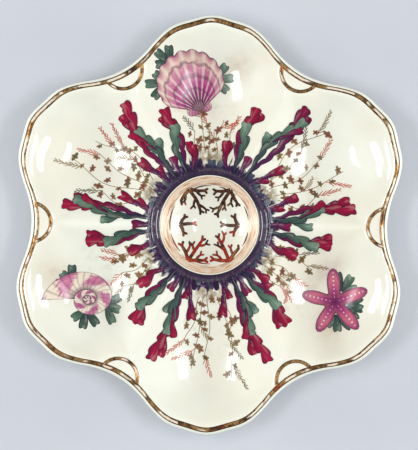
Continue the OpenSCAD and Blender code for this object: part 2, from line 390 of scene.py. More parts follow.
@dataclass(frozen=True)
class PlateForm:
    """The rule for the plate's surface: lobed outline, wells, ridges, collar and sauce well."""

    across: float
    half_width: float
    height: float
    lobes: int = 6
    first_lobe: float = math.radians(90)
    lobe_r: float = 42.4 * MM
    notch_r: float = 51 * MM
    wall: float = 4.2 * MM
    lip_w: float = 4.4 * MM
    lip_t: float = 3.4 * MM
    lip_crown: float = 0.3 * MM
    notch_dip: float = 2.5 * MM
    crimps: int = 5
    crimp: float = 0.45 * MM
    well_stand: float = 4 * MM
    well_run: float = 30 * MM
    ridge_h: float = 20 * MM
    ridge_round: float = 3 * MM
    land_r: float = 11.6 * MM
    collar_r: float = 27.4 * MM
    collar_h: float = 24 * MM
    collar_w: float = 6 * MM
    sauce_stand: float = 5.3 * MM
    corner_power: float = 3.0
    bowl_floor_power: float = 2.6
    bowl_brim_power: float = 1.2
    slope_step: float = 0.05 * MM
    smallest_gap: float = 0.001 * MM

    @cached_property
    def half_pitch(self) -> float:
        """Half the angle of one lobe."""
        return math.pi / self.lobes

    @cached_property
    def lobe_centre_r(self) -> float:
        """Radius of the lobe arcs' centres."""
        return self.across / 2 - self.crimp - self.lobe_r

    @cached_property
    def notch_centre_r(self) -> float:
        """Radius of the hollow arcs' centres."""
        along, aside = polar(self.lobe_centre_r, self.half_pitch)
        return along + math.sqrt((self.lobe_r + self.notch_r) ** 2 - aside**2)

    @cached_property
    def notch_rim_r(self) -> float:
        """Radius of the outline in a notch."""
        return self.notch_centre_r - self.notch_r

    @cached_property
    def tangent_phi(self) -> float:
        """Angle where a lobe arc meets a hollow arc.

        Returns:
            The angle from the lobe's middle.
        """
        share = self.lobe_r / (self.lobe_r + self.notch_r)
        x = self.lobe_centre_r + (self.notch_centre_r * math.cos(self.half_pitch) - self.lobe_centre_r) * share
        y = self.notch_centre_r * math.sin(self.half_pitch) * share
        return math.atan2(y, x)

    @property
    def collar_foot_r(self) -> float:
        """Radius where the collar's slope meets the ridges."""
        return self.collar_r + self.collar_w

    @property
    def lip_round(self) -> float:
        """Radius of the lip's rounded edge."""
        return self.lip_t / 2

    def lobe_angle(self, lobe: float) -> float:
        """Angle of a lobe's middle. Half numbers give the ridges."""
        return self.first_lobe + 2 * self.half_pitch * lobe

    def fold(self, theta: Array) -> Array:
        """Angle from the middle of the lobe that a direction lies in."""
        turned = theta - self.first_lobe + self.half_pitch
        return turned - 2 * self.half_pitch * np.floor(turned / (2 * self.half_pitch)) - self.half_pitch

    def lobe_wave(self, phi: Array) -> Array:
        """1 in the middle of a lobe and 0 in the notch."""
        return np.cos(np.pi / 2 * phi / self.half_pitch) ** 2

    def crimp_wave(self, phi: Array) -> Array:
        """The crimps along the lip, which fade out towards the notch."""
        return np.cos(np.pi * self.crimps * phi / self.half_pitch) * self.lobe_wave(phi)

    def outline_r(self, phi: Array) -> Array:
        """Radius of the outline, an arc in each lobe and a hollow arc in each notch.

        Args:
            phi: Angle from the lobe's middle.

        Returns:
            The radius at each angle.
        """
        lean = np.maximum(self.lobe_r**2 - (self.lobe_centre_r * np.sin(phi)) ** 2, 0)
        lobe = self.lobe_centre_r * np.cos(phi) + np.sqrt(lean)
        psi = self.half_pitch - np.abs(phi)
        lean = np.maximum(self.notch_r**2 - (self.notch_centre_r * np.sin(psi)) ** 2, 0)
        notch = self.notch_centre_r * np.cos(psi) - np.sqrt(lean)
        return np.where(np.abs(phi) < self.tangent_phi, lobe, notch) + self.crimp * self.crimp_wave(phi)

    def brim_r(self, phi: Array) -> Array:
        """Radius of the lip's inner edge."""
        return self.outline_r(phi) - self.lip_w

    def lip_z(self, phi: Array) -> Array:
        """Height of the lip's edges."""
        dip = self.notch_dip * (1 - self.lobe_wave(phi))
        return self.height - self.lip_crown - dip - self.crimp * (1 - self.crimp_wave(phi)) / 2

    def lip_top_z(self, phi: Array, inset: Array) -> Array:
        """Height of the lip's rolled crown.

        Args:
            phi: Angle from the lobe's middle.
            inset: Distance in from the outline.

        Returns:
            The height at each place.
        """
        middle = (self.lip_w + self.lip_round) / 2
        half = (self.lip_w - self.lip_round) / 2
        return self.lip_z(phi) + self.lip_crown * (1 - ((inset - middle) / half) ** 2)

    def brim_distance(self, r: Array, phi: Array) -> Array:
        """Distance from the nearest ridge, lip, collar or land, with the corners rounded.

        Args:
            r: Radius of each place.
            phi: Angle from the lobe's middle.

        Returns:
            The distance at each place.
        """
        psi = self.half_pitch - np.abs(phi)
        land = np.hypot(r * np.cos(psi) - self.notch_rim_r, r * np.sin(psi)) - self.land_r
        gaps = (r * np.sin(psi), self.brim_r(phi) - r, r - self.collar_foot_r, land)
        total = sum((np.maximum(gap, self.smallest_gap) / self.well_run) ** -self.corner_power for gap in gaps)
        return self.well_run * total ** (-1 / self.corner_power)

    def well_z(self, r: Array, phi: Array) -> Array:
        """Height of the wells and ridges.

        Args:
            r: Radius of each place.
            phi: Angle from the lobe's middle.

        Returns:
            The height at each place.
        """
        rounded = np.hypot(self.brim_distance(r, phi), self.ridge_round) - self.ridge_round
        rise = (1 - np.minimum(rounded / self.well_run, 1)) ** 2
        share = (r - self.collar_foot_r) / (self.brim_r(phi) - self.collar_foot_r)
        crest = self.ridge_h + (self.lip_z(phi) - self.ridge_h) * np.maximum(share, 0) ** 2
        floor = self.well_stand + self.wall
        return floor + (crest - floor) * rise

    def sauce_z(self, r: Array) -> Array:
        """Height of the sauce well's bowl.

        Args:
            r: Radius of each place.

        Returns:
            The height at each place.
        """
        floor = self.sauce_stand + self.wall
        fall = 1 - np.clip(r / self.collar_r, 0, 1) ** self.bowl_floor_power
        return floor + (self.collar_h - floor) * (1 - fall**self.bowl_brim_power)

    def slope_z(self, r: Array) -> Array:
        """Height of the collar's outer slope."""
        share = (1 + np.cos(np.pi * (r - self.collar_r) / self.collar_w)) / 2
        return self.ridge_h + (self.collar_h - self.ridge_h) * share

    def top_z(self, r: Array, phi: Array) -> Array:
        """Height of the upper face inside the lip.

        Args:
            r: Radius of each place.
            phi: Angle from the lobe's middle.

        Returns:
            The height at each place.
        """
        inside = np.minimum(r, self.brim_r(phi))
        wells = self.well_z(np.maximum(inside, self.collar_foot_r), phi)
        outside = np.where(r <= self.collar_foot_r, self.slope_z(r), wells)
        return np.where(r <= self.collar_r, self.sauce_z(r), outside)

    def under_z(self, r: Array, phi: Array) -> Array:
        """Height of the underside, one wall below the upper face and square to it.

        Args:
            r: Radius of each place.
            phi: Angle from the lobe's middle.

        Returns:
            The height at each place.
        """
        along = self.top_z(r + self.slope_step, phi) - self.top_z(np.maximum(r - self.slope_step, 0), phi)
        turn = np.arctan(self.slope_step / np.maximum(r, self.slope_step))
        across = self.top_z(r, phi + turn) - self.top_z(r, phi - turn)
        slope = np.hypot(along, across) / (2 * self.slope_step)
        return self.top_z(r, phi) - self.wall * np.sqrt(1 + slope**2)

    def surface(self, x: Array, y: Array) -> Array:
        """Height of the upper face at a place on the plan."""
        return self.top_z(np.hypot(x, y), self.fold(np.arctan2(y, x)))

    def drape(self, x: Array, y: Array, lift: float) -> tuple[Array, Array, Array]:
        """Lays points of the plan on the glaze.

        Args:
            x: Place on the plan.
            y: Place on the plan.
            lift: Distance above the glaze, square to it.

        Returns:
            The points' x, y and z.
        """
        step = self.slope_step
        dx = (self.surface(x + step, y) - self.surface(x - step, y)) / (2 * step)
        dy = (self.surface(x, y + step) - self.surface(x, y - step)) / (2 * step)
        size = np.sqrt(1 + dx**2 + dy**2)
        return x - lift * dx / size, y - lift * dy / size, self.surface(x, y) + lift / size


# Finishes


@dataclass(frozen=True)
class PorcelainGlaze:
    """Cream glaze with the painted ground round the collar and soft washes in the wells."""

    form: PlateForm
    cream: str = "eef0e2"
    warm_cream: str = "ebe8d7"
    navy: str = "1c0f3e"
    violet: str = "380d38"
    teal: str = "47485c"
    crest_shade: str = "120a1c"
    ochre: str = "8f7443"
    umber: str = "6d5a48"
    sand: str = "a98a63"
    ground_in_r: float = 27.25 * MM
    ground_out_r: float = 35 * MM
    ground_blur: float = 0.12 * MM
    ray_reach: float = 19 * MM
    fine_ray_reach: float = 4 * MM
    ridge_reach: float = 4 * MM
    crest_r: float = 28 * MM
    smudge_r: float = 37.2 * MM
    smudge_long: float = 4.3 * MM
    smudge_wide: float = 8 * MM

    def _ground(self, bench: ShaderBench, place: Signal, r: Signal, fold: Signal, colour: Signal) -> Signal:
        """Paints the dark mottled ring round the collar over a colour.

        Args:
            bench: The material's bench.
            place: Each point's place on the plate.
            r: Its distance from the plate's middle.
            fold: Its angle from the lobe's middle.
            colour: The colour below.

        Returns:
            The colour with the ring on it.
        """
        x, y, _ = bench.axes(place)
        rays, fine_rays = (bench.noise(bench.combine(x / r * around, y / r * around, r * outwards), 1.5, 3)
                           for around, outwards in ((9, 60), (26, 90)))
        reach = (self.ground_out_r + (rays - 0.5) * self.ray_reach + (fine_rays - 0.5) * self.fine_ray_reach
                 + fold * self.ridge_reach)
        mask = (r - reach).falling(-1.8 * MM, 0.9 * MM)
        mask = mask * r.rising(self.ground_in_r - self.ground_blur, self.ground_in_r + self.ground_blur)
        paint = bench.ramp(fine_rays * 0.6 + bench.noise(place, 170, 3) * 0.4, [
            (0.34, self.violet), (0.45, self.navy), (0.55, self.violet), (0.66, self.teal)])
        paint = bench.mix(r.falling(self.crest_r, self.crest_r + 1 * MM) * 0.7, paint, self.crest_shade)
        return bench.mix(mask * 0.985, colour, paint)

    def _smudges(self, bench: ShaderBench, place: Signal, r: Signal, fold: Signal, colour: Signal) -> Signal:
        """Paints the soft ochre wash at the inner end of each well over a colour.

        Args:
            bench: The material's bench.
            place: Each point's place on the plate.
            r: Its distance from the plate's middle.
            fold: Its angle from the lobe's middle.
            colour: The colour below.

        Returns:
            The colour with the washes on it.
        """
        patches = bench.noise(place, 190, 4)
        flowers = patches.rising(0.52, 0.72) * r.rising(40 * MM, 50 * MM) * r.falling(64 * MM, 80 * MM)
        colour = bench.mix(flowers * fold.falling(0.25, 0.42) * 0.2, colour, self.sand)
        far = ((r - self.smudge_r) / self.smudge_long) ** 2 + (r * fold / self.smudge_wide) ** 2
        mask = bench.math("EXPONENT", far * -1.0) * bench.noise(place, 300, 4).rising(0.32, 0.56)
        paint = bench.ramp(bench.noise(place, 420, 2), [(0.4, self.ochre), (0.6, self.umber)])
        return bench.mix(mask * 0.95, colour, paint)

    def material(self, washes: Sequence[Wash]) -> bpy.types.Material:
        """Builds the glaze.

        Args:
            washes: Soft patches of thin colour below the painted motifs.

        Returns:
            The material.
        """
        bench = ShaderBench("porcelain_glaze")
        place = bench.place()
        x, y, _ = bench.axes(place)
        r = (x * x + y * y) ** 0.5
        theta = bench.math("ARCTAN2", y, x)
        fold = bench.math("PINGPONG", theta - self.form.first_lobe, self.form.half_pitch)
        cloud = bench.noise(place, 22, 3)
        colour = bench.mix(cloud.rising(0.35, 0.7), self.cream, self.warm_cream)
        for wash in washes:
            colour = wash.over(bench, place, colour)
        colour = self._smudges(bench, place, r, fold, colour)
        painted = self._ground(bench, place, r, fold, colour)
        colour = bench.mix(bench.attribute("painted"), self.cream, painted)
        speck = bench.noise(place, 2400, 1).rising(0.74, 0.8)
        colour = bench.mix(speck * 0.25, colour, self.umber)
        ripple = bench.noise(place, 35, 2) * 0.8 + bench.noise(place, 260, 2) * 0.06
        return bench.finish({
            "Base Color": colour,
            "Roughness": 0.05 + bench.noise(place, 60, 3) * 0.07,
            "Normal": bench.bump(ripple, 0.35, 1.2 * MM),
            "IOR": 1.52,
        })


@dataclass(frozen=True)
class Wash:
    """A soft oval patch of thin colour on the glaze."""

    x: float
    y: float
    turn: float
    long: float
    short: float
    colour: str
    strength: float = 0.5

    def over(self, bench: ShaderBench, place: Signal, colour: Signal) -> Signal:
        """Lays the wash over a colour.

        Args:
            bench: The material's bench.
            place: Each point's place on the plate.
            colour: The colour below the wash.

        Returns:
            The colour with the wash on it.
        """
        local = bench.node("ShaderNodeMapping", {"vector_type": "TEXTURE"},
                           {"Vector": place, "Location": (self.x, self.y, 0), "Rotation": (0, 0, self.turn)})
        x, y, _ = bench.axes(local)
        far = (x / self.long) ** 2 + (y / self.short) ** 2
        ragged = bench.noise(place, 210, 4).rising(0.25, 0.75)
        mask = bench.math("EXPONENT", far * -1.0) * (0.6 + ragged * 0.4)
        return bench.mix(mask * self.strength, colour, self.colour)


@dataclass(frozen=True)
class BisqueFoot:
    """The foot ring: thin glaze above and a dry, faintly rubbed standing face."""

    glaze: str = "e9e2cf"
    dry: str = "cfc3a9"
    grime: str = "a89a80"

    def material(self) -> bpy.types.Material:
        """Builds the foot's finish.

        Returns:
            The material.
        """
        bench = ShaderBench("foot_porcelain")
        place = bench.place()
        z = bench.axes(place)[2]
        grain = bench.noise(place, 900, 4)
        dry = (z + grain * 0.6 * MM).falling(0.5 * MM, 1.3 * MM)
        colour = bench.mix(dry, self.glaze, self.dry)
        return bench.finish({
            "Base Color": bench.mix(grain * dry * 0.5, colour, self.grime),
            "Roughness": 0.12 + dry * 0.6,
            "Normal": bench.bump(grain, 0.3, 0.3 * MM),
        })


@dataclass(frozen=True)
class FiredGold:
    """Fired gilding: brown with dark edges, cream stretches of rubbed gold and painted highlight, and painted
    copper-red reflections.
    """

    name: str
    deep: str = "523720"
    gold: str = "87623a"
    bright: str = "bd925c"
    pale: str = "f5e8d2"
    # Copper red of the painted reflections on the gold
    copper_reflection: str = "a04a2a"
    border: str = "33220f"
    border_share: float = 0.3
    pale_share: float = 0.5
    copper_reflection_share: float = 0.16
    metallic: float = 0.7
    patch_scale: float = 120.0
    # Strength of the painted highlight that lightens the gold towards the plate's left and right sides
    side_painted_highlight: float = 5.0
    # How much the painted copper-red reflections strengthen towards negative y
    copper_reflection_fall: float = 0.0

    def material(self) -> bpy.types.Material:
        """Builds the gilding's finish.

        Returns:
            The material.
        """
        bench = ShaderBench(self.name)
        place = bench.place()
        x, y, _ = bench.axes(place)
        across = bench.attribute("across")
        # Pale patches: random rubbed gold, plus a painted highlight that grows with x squared towards the plate's
        # sides.
        patch = bench.noise(place, self.patch_scale, 2) + x * x * self.side_painted_highlight
        streak = bench.noise(place, self.patch_scale * 2.4, 2, 0.5)
        fine = bench.noise(place, 900, 3)
        body = bench.ramp(streak * 0.8 + fine * 0.2, [
            (0.36, self.deep), (0.48, self.gold), (0.6, self.bright), (0.68, self.gold)])
        aside = bench.node("ShaderNodeMapping", {}, {"Vector": place, "Location": (0.3, 0.7, 0.1)})
        # Copper-red painted reflections: random patches, stronger towards negative y when their fall is set.
        red = bench.noise(aside, self.patch_scale * 0.8, 2) - y * self.copper_reflection_fall
        body = bench.mix(red.rising(0.78 - self.copper_reflection_share, 0.84 - self.copper_reflection_share) * 0.75, body, self.copper_reflection)
        middle = abs(across - 0.1 + (streak - 0.5) * 0.5).falling(0.25, 0.62)
        # The pale stretches are partly rubbed gold and partly painted highlight, and they are less metallic.
        wear_and_highlight = patch.rising(0.72 - self.pale_share * 0.5, 0.8 - self.pale_share * 0.5) * middle
        colour = bench.mix(wear_and_highlight * 0.92, body, self.pale)
        rim = abs(across).rising(1 - self.border_share * 1.3, 1 - self.border_share * 0.6)
        colour = bench.mix(rim * 0.85, colour, self.border)
        return bench.finish({
            "Base Color": colour,
            "Metallic": (1 - wear_and_highlight * 0.75) * self.metallic,
            "Roughness": 0.2 + fine * 0.16,
            "Normal": bench.bump(fine, 0.25, 0.08 * MM),
        })


@dataclass(frozen=True)
class CollarLustre:
    """Thin rubbed gold brushed round the collar: cream with peach and tan brush lines; the cream and peach are partly
    a painted reflection.
    """

    cream: str = "f6e6d2"
    peach: str = "edbf94"
    tan: str = "c08653"
    line: str = "8f5630"
    bare: str = "efe9d6"
    lanes: float = 3.2
    metallic: float = 0.3

    def material(self) -> bpy.types.Material:
        """Builds the lustre.

        Returns:
            The material.
        """
        bench = ShaderBench("collar_lustre")
        place = bench.place()
        across = bench.attribute("across")
        x, y, _ = bench.axes(place)
        broad = bench.noise(bench.combine(x * 150, y * 150, across * self.lanes), 1.0, 3, 0.3)
        brush = bench.noise(bench.combine(x * 120, y * 120, across * self.lanes * 2.4), 1.0, 4, 0.2)
        # Cream and peach stand partly for a painted reflection of bright surroundings on the thin gold.
        colour = bench.ramp(broad * 0.5 + brush * 0.5, [
            (0.37, self.tan), (0.43, self.peach), (0.49, self.cream),
            (0.57, self.cream), (0.63, self.peach), (0.68, self.tan)])
        lines = brush.rising(0.53, 0.6) * across.falling(-0.5, 0.3)
        colour = bench.mix(lines * 0.9, colour, self.line)
        outer = across.rising(0.84, 0.93) * (0.55 + broad * 0.8)
        colour = bench.mix(outer * 0.8, colour, self.tan)
        inner = (across + (brush - 0.5) * 0.9).falling(-1.0, -0.72)
        colour = bench.mix(inner, colour, self.bare)
        fine = bench.noise(place, 700, 2)
        return bench.finish({
            "Base Color": colour,
            "Metallic": (1 - inner) * self.metallic,
            "Roughness": 0.16 + fine * 0.14,
            "Normal": bench.bump(fine, 0.2, 0.05 * MM),
        })


class Pattern(Enum):
    """What a painted motif's brushwork shows inside its outline."""

    BLADE = "blade"
    TWIG = "twig"
    RIBBED = "ribbed"
    WHORLED = "whorled"
    DOTTED = "dotted"
    FLOWER = "flower"


@dataclass(frozen=True)
class Enamel:
    """Painted enamel: a row of colours along each stroke, a dark outline and brushwork."""

    name: str
    tones: tuple[tuple[float, str], ...]
    outline: str = "1c1422"
    outline_w: float = 0.34
    pattern: Pattern = Pattern.BLADE
    ribs: float = 11.0
    light: str = "e9dcc8"
    tone_drift: float = 0.12

    def _inside(self, bench: ShaderBench, colour: Signal, along: Signal, across: Signal, brush: Signal) -> Signal:
        """Adds the brushwork of the chosen pattern to a colour.

        Args:
            bench: The material's bench.
            colour: The colour of the motif's ground.
            along: Share of the way along the motif.
            across: Place across the motif, from -1 to 1.
            brush: Noise that follows the brush.

        Returns:
            The colour with the brushwork on it.
        """
        if self.pattern is Pattern.BLADE:
            seed = bench.attribute("seed")
            patch = bench.noise(bench.combine(along * 5, across * 1.2, seed + 9.0), 1.0, 2)
            streak = bench.noise(bench.combine(along * 2, across * 6, seed + 4.0), 1.3, 3)
            gleam = across.rising(-0.3, 0.2) * across.falling(0.5, 0.9) * patch.rising(0.44, 0.66) * streak
            colour = bench.mix(gleam * 0.32, colour, self.light)
            colour = bench.mix(streak.rising(0.5, 0.7) * 0.55, colour, self.outline)
            colour = bench.mix(across.falling(-0.9, 0.1) * 0.32, colour, self.outline)
            vein = abs(across).falling(0.04, 0.14) * along.falling(0.5, 0.95) * 0.55
            parting = bench.attribute("lobe").falling(0.1, 0.4) * abs(across).rising(0.25, 0.6) * 0.6
            return bench.mix(bench.math("MAXIMUM", vein, parting), colour, self.outline)
        if self.pattern is Pattern.RIBBED:
            rib = bench.math("COSINE", across * math.pi * self.ribs).rising(0.1, 0.9)
            band = bench.math("SINE", along * 30 + brush * 5).rising(0.4, 1.0) * 0.5
            colour = bench.mix(rib * 0.5, colour, self.light)
            return bench.mix(band, colour, self.outline)
        if self.pattern is Pattern.WHORLED:
            flame = bench.math("SINE", along * 84 + across * 2.4 + brush * 4)
            flame = flame.rising(-0.7, 0.4) * across.rising(-1.1, 0.0)
            colour = bench.mix(flame * 0.95, self.light, colour)
            growth = bench.math("SINE", along * 420 + across * 3).rising(0.2, 0.9) * 0.3
            colour = bench.mix(growth, colour, self.outline)
            return bench.mix(across.falling(-1.0, -0.4) * 0.7, colour, self.outline)
        if self.pattern is Pattern.DOTTED:
            dot = bench.math("SINE", along * 52).rising(0.2, 0.8) * across.falling(0.004, 0.016)
            colour = bench.mix(across.rising(0.05, 0.5) * 0.5, colour, self.outline)
            return bench.mix(dot * along.falling(0.8, 0.95) * 0.85, colour, self.light)
        if self.pattern is Pattern.FLOWER:
            colour = bench.mix(along.falling(0.2, 0.5) * 0.75, colour, self.outline)
            return bench.mix(across.rising(0.35, 0.9) * 0.45, colour, self.outline)
        return colour

    def material(self) -> bpy.types.Material:
        """Builds the enamel's finish.

        Returns:
            The material.
        """
        bench = ShaderBench(self.name)
        place = bench.place()
        along = bench.attribute("along")
        across = bench.attribute("across")
        brush = bench.noise(bench.combine(along * 3.0, across * 2.6, bench.attribute("seed")), 2.2, 4, 0.5)
        tone = bench.attribute("tone") + (brush - 0.5) * self.tone_drift
        shade = 0.6 + brush * 0.7
        colour = bench.mix(1.0, bench.ramp(tone, self.tones), bench.combine(shade, shade, shade), "MULTIPLY")
        colour = self._inside(bench, colour, along, across, brush)
        if self.outline_w:
            wobble = (bench.noise(place, 1100, 2) - 0.5) * 0.25
            line = (bench.attribute("edge") + wobble).falling(self.outline_w * 0.5, self.outline_w)
            colour = bench.mix(line * 0.9, colour, self.outline)
        return bench.finish({
            "Base Color": colour,
            "Roughness": 0.1 + brush * 0.14,
            "Normal": bench.bump(brush, 0.3, 0.1 * MM),
            "IOR": 1.42,
        })


# Motifs on the glaze


@dataclass(frozen=True)
class Motif:
    """A painted motif. Each kind draws one sheet and the marks that its enamel reads."""

    x: float
    y: float
    layer: int = field(default=0, kw_only=True)

    def draw(self, seed: float) -> Drawing:
        """Draws a flat sheet, and gives the x and y of its vertices on the plan and its marks."""
        raise NotImplementedError

    def _fan(self, reach: Array, angle: Array) -> tuple[Array, Array]:
        """Places at a distance and direction from the motif's own place."""
        return self.x + reach * np.cos(angle), self.y + reach * np.sin(angle)

    def build(self, form: PlateForm, base_lift: float, layer_lift: float, seed: float) -> bpy.types.Object:
        """Lays the motif on the glaze.

        Args:
            form: The surface that it lies on.
            base_lift: Height of the lowest layer above the glaze.
            layer_lift: Extra height of each further layer.
            seed: A number that sets this motif apart from others of its kind.

        Returns:
            The sheet, with its marks for the enamel.
        """
        sheet, x, y, marks = self.draw(seed)
        place_vertices(sheet, *form.drape(x, y, base_lift + self.layer * layer_lift))
        for name, values in marks.items():
            mark(sheet, name, values)
        mark(sheet, "seed", np.full(len(x), seed))
        return sheet


@dataclass(frozen=True)
class Stroke(Motif):
    """One brush stroke: an arc on the plan whose width swells, rounds off and may run out in lobes."""

    heading: float
    length: float
    half_width: float
    turn: float = 0.0
    sway: float = 0.0
    root_share: float = 0.4
    tip_share: float = 0.7
    belly_share: float = 0.6
    lobes: float = 0.0
    lobe_depth: float = 0.5
    lobe_shape: float = 0.6
    sweep: float = 0.9
    cleft: float = 0.0
    tone: tuple[float, float] = (0.0, 1.0)
    rows: int = 16
    columns: int = 4
    crowding: float = 1.35

    def _heading_at(self, t: Array) -> Array:
        """Direction of the stroke at a share of its length."""
        return self.heading + self.turn * t + self.sway * np.sin(2 * np.pi * t)

    def _centre_line(self, t: Array) -> tuple[Array, Array]:
        """Places along the stroke's middle.

        Args:
            t: Shares of its length.

        Returns:
            Their x and y on the plan.
        """
        table = np.linspace(0, 1, 97)
        heading = self._heading_at((table[1:] + table[:-1]) / 2)
        step = self.length / (len(table) - 1)
        x = np.concatenate([[0], np.cumsum(np.cos(heading)) * step])
        y = np.concatenate([[0], np.cumsum(np.sin(heading)) * step])
        return self.x + np.interp(t, table, x), self.y + np.interp(t, table, y)

    def point_at(self, share: float) -> tuple[float, float]:
        """Place on the plan at a share of the stroke's length."""
        x, y = self._centre_line(np.array([share]))
        return float(x[0]), float(y[0])

    def heading_at(self, share: float) -> float:
        """Direction at a share of the stroke's length."""
        return float(self._heading_at(np.array([share]))[0])

    @property
    def _cap(self) -> float:
        """Share of the length that the round end takes."""
        return min(0.5, self.half_width * self.tip_share / self.length)

    def _nearness(self, t: Array) -> Array:
        """1 at the tip, and 0 from one lobe before it.

        Args:
            t: Shares of the stroke's length.

        Returns:
            The nearness to the tip at each.
        """
        reach = 1 / self.lobes if self.lobes else 2 * self._cap
        near = np.clip((t - 1) / reach + 1, 0, 1)
        return near**2 * (3 - 2 * near)

    def _lobe_at(self, t: Array, side: Array) -> Array:
        """1 on a lobe and 0 in the hollow between two, the lobes of one side between the other's.

        Args:
            t: Shares of the stroke's length.
            side: Places across it, from -1 to 1.

        Returns:
            The lobe's value at each place.
        """
        if not self.lobes:
            return np.ones_like(t)
        hollow = 1 - np.abs(np.sin(np.pi * (self.lobes * t + np.where(side > 0, 0.0, 0.5))))
        return 1 - hollow * (1 - self._nearness(t))

    def _half_width_at(self, t: Array, lobe: Array) -> Array:
        """Half width along the stroke.

        Args:
            t: Shares of its length.
            lobe: 1 on a lobe and 0 between two.

        Returns:
            The half width at each place.
        """
        swell = np.clip(t / self.belly_share, 0, 1)
        swell = self.root_share + (1 - self.root_share) * swell**2 * (3 - 2 * swell)
        fade = np.clip((t - self.belly_share) / (1 - self.belly_share), 0, 1)
        fade = 1 - (1 - self.tip_share) * fade**2
        rounding = np.sqrt(1 - np.clip((t - 1 + self._cap) / self._cap, 0, 1) ** 2)
        return self.half_width * swell * fade * rounding * (1 - self.lobe_depth * (1 - lobe**self.lobe_shape))

    def draw(self, seed: float) -> Drawing:
        """Draws the stroke as a strip along its middle line.

        Args:
            seed: Not used; Motif.build marks the seed that sets the brushwork apart.

        Returns:
            A flat sheet, the x and y of its vertices on the plan, and its marks.
        """
        sheet, along, across = grid_sheet("stroke", self.rows, self.columns)
        t = 1 - (1 - along) ** self.crowding
        side = 2 * across - 1
        lobe = self._lobe_at(t, side)
        half = self._half_width_at(t, lobe)
        x, y = self._centre_line(t)
        heading = self._heading_at(t)
        near = self._nearness(t)
        lean = half * np.abs(side) * (self.cleft * near + (self.sweep * (1 - near) if self.lobes else 0.0))
        x = x - np.sin(heading) * half * side + np.cos(heading) * lean
        y = y + np.cos(heading) * half * side + np.sin(heading) * lean
        edge = np.minimum(half * (1 - np.abs(side)), (1 - t) * self.length) / MM
        return sheet, x, y, {"along": t, "across": side, "edge": edge, "lobe": lobe, "tone": between(self.tone, t)}


@dataclass(frozen=True)
class Rosette(Motif):
    """A small painted star: its radius follows the number of petals."""

    radius: float
    petals: int
    turn: float
    tone: tuple[float, float]
    depth: float = 0.55
    sharpness: float = 1.5
    uneven: float = 0.0
    rows: int = 3
    steps: int = 6

    def draw(self, seed: float) -> Drawing:
        """Draws the rosette as a fan all the way round.

        Args:
            seed: Turns the rosette's unevenness.

        Returns:
            A flat sheet, the x and y of its vertices on the plan, and its marks.
        """
        sheet, along, across = grid_sheet("rosette", self.rows, self.petals * self.steps)
        angle = 2 * np.pi * across
        petal = np.abs(np.cos(self.petals * angle / 2))
        reach = self.radius * (1 - self.depth * (1 - petal**self.sharpness))
        reach *= 1 + self.uneven * np.sin(2 * angle + seed * 2.6)
        marks = {"along": along, "across": 1 - petal, "edge": (1 - along) * reach / MM, "lobe": np.ones_like(along),
                 "tone": between(self.tone, along)}
        return sheet, *self._fan(along * reach, angle + self.turn), marks


@dataclass(frozen=True)
class ScallopValve(Motif):
    """A painted scallop shell: a ribbed fan from its hinge to a round, toothed edge."""

    heading: float
    radius: float
    spread: float = math.radians(64)
    roundness: float = 0.8
    ribs: int = 11
    tooth_share: float = 0.035
    rows: int = 28

    def draw(self, seed: float) -> Drawing:
        """Draws the valve as a fan from its hinge.

        Args:
            seed: Not used; Motif.build marks the seed that sets the brushwork apart.

        Returns:
            A flat sheet, the x and y of its vertices on the plan, and its marks.
        """
        sheet, along, across = grid_sheet("valve", self.rows, self.ribs * 6)
        side = 2 * across - 1
        angle = side * self.spread
        tooth = 1 - self.tooth_share * (1 - np.abs(np.cos(np.pi * self.ribs * side / 2)))
        reach = self.radius * np.cos(angle) ** self.roundness * tooth
        edge = np.minimum((1 - along) * reach, along * reach * (self.spread - np.abs(angle))) / MM
        marks = {"along": along, "across": side, "edge": edge, "lobe": np.ones_like(along), "tone": along}
        return sheet, *self._fan(along * reach, angle + self.heading), marks


@dataclass(frozen=True)
class CoiledShell(Motif):
    """A painted coiled shell: one strip that winds outwards and widens to its mouth."""

    heading: float
    radius: float
    turns: float = 2.6
    growth: float = 0.17
    squash: float = 0.86
    mouth_flare: float = 0.12
    mouth_share: float = 0.1
    rows: int = 110
    columns: int = 8

    def draw(self, seed: float) -> Drawing:
        """Draws the shell as a strip that winds outwards.

        Args:
            seed: Not used; Motif.build marks the seed that sets the brushwork apart.

        Returns:
            A flat sheet, the x and y of its vertices on the plan, and its marks.
        """
        sheet, along, across = grid_sheet("coil", self.rows, self.columns)
        wind = 2 * np.pi * self.turns * (along - 1)
        outer = self.radius * np.exp(self.growth * wind)
        inner = outer * math.exp(-2 * np.pi * self.growth) * np.clip(along * self.turns, 0, 1)
        flare = 1 + self.mouth_flare * np.clip((along - (1 - self.mouth_share)) / self.mouth_share, 0, 1) ** 2
        reach = inner + (outer * flare - inner) * across
        u = reach * np.cos(wind)
        v = reach * np.sin(wind) * self.squash
        x = self.x + u * math.cos(self.heading) - v * math.sin(self.heading)
        y = self.y + u * math.sin(self.heading) + v * math.cos(self.heading)
        edge = np.minimum((outer - inner) * np.minimum(1 - across, across), (1 - along) * 12 * outer) / MM
        return sheet, x, y, {"along": along, "across": 2 * across - 1, "edge": edge, "lobe": np.ones_like(along),
                             "tone": along * 0.5 + across * 0.5}


@dataclass
class PaintedPiece:
    """A group of painted motifs that share one enamel and become one thin layer on the glaze."""

    form: PlateForm
    name: str
    enamel: bpy.types.Material
    base_lift: float = 0.05 * MM
    layer_lift: float = 0.022 * MM
    thickness: float = 0.03 * MM
    motifs: list[Motif] = field(default_factory=list)

    def add(self, *motifs: Motif) -> None:
        """Adds motifs to the piece."""
        self.motifs.extend(motifs)

    def build(self) -> None:
        """Makes every motif, joins them and dresses the piece."""
        sheets = [m.build(self.form, self.base_lift, self.layer_lift, i * 1.7) for i, m in enumerate(self.motifs)]
        piece = join(sheets, self.name)
        close_seams(piece)
        thicken(piece, self.thickness)
        smooth(piece)
        dress(piece, self.enamel)


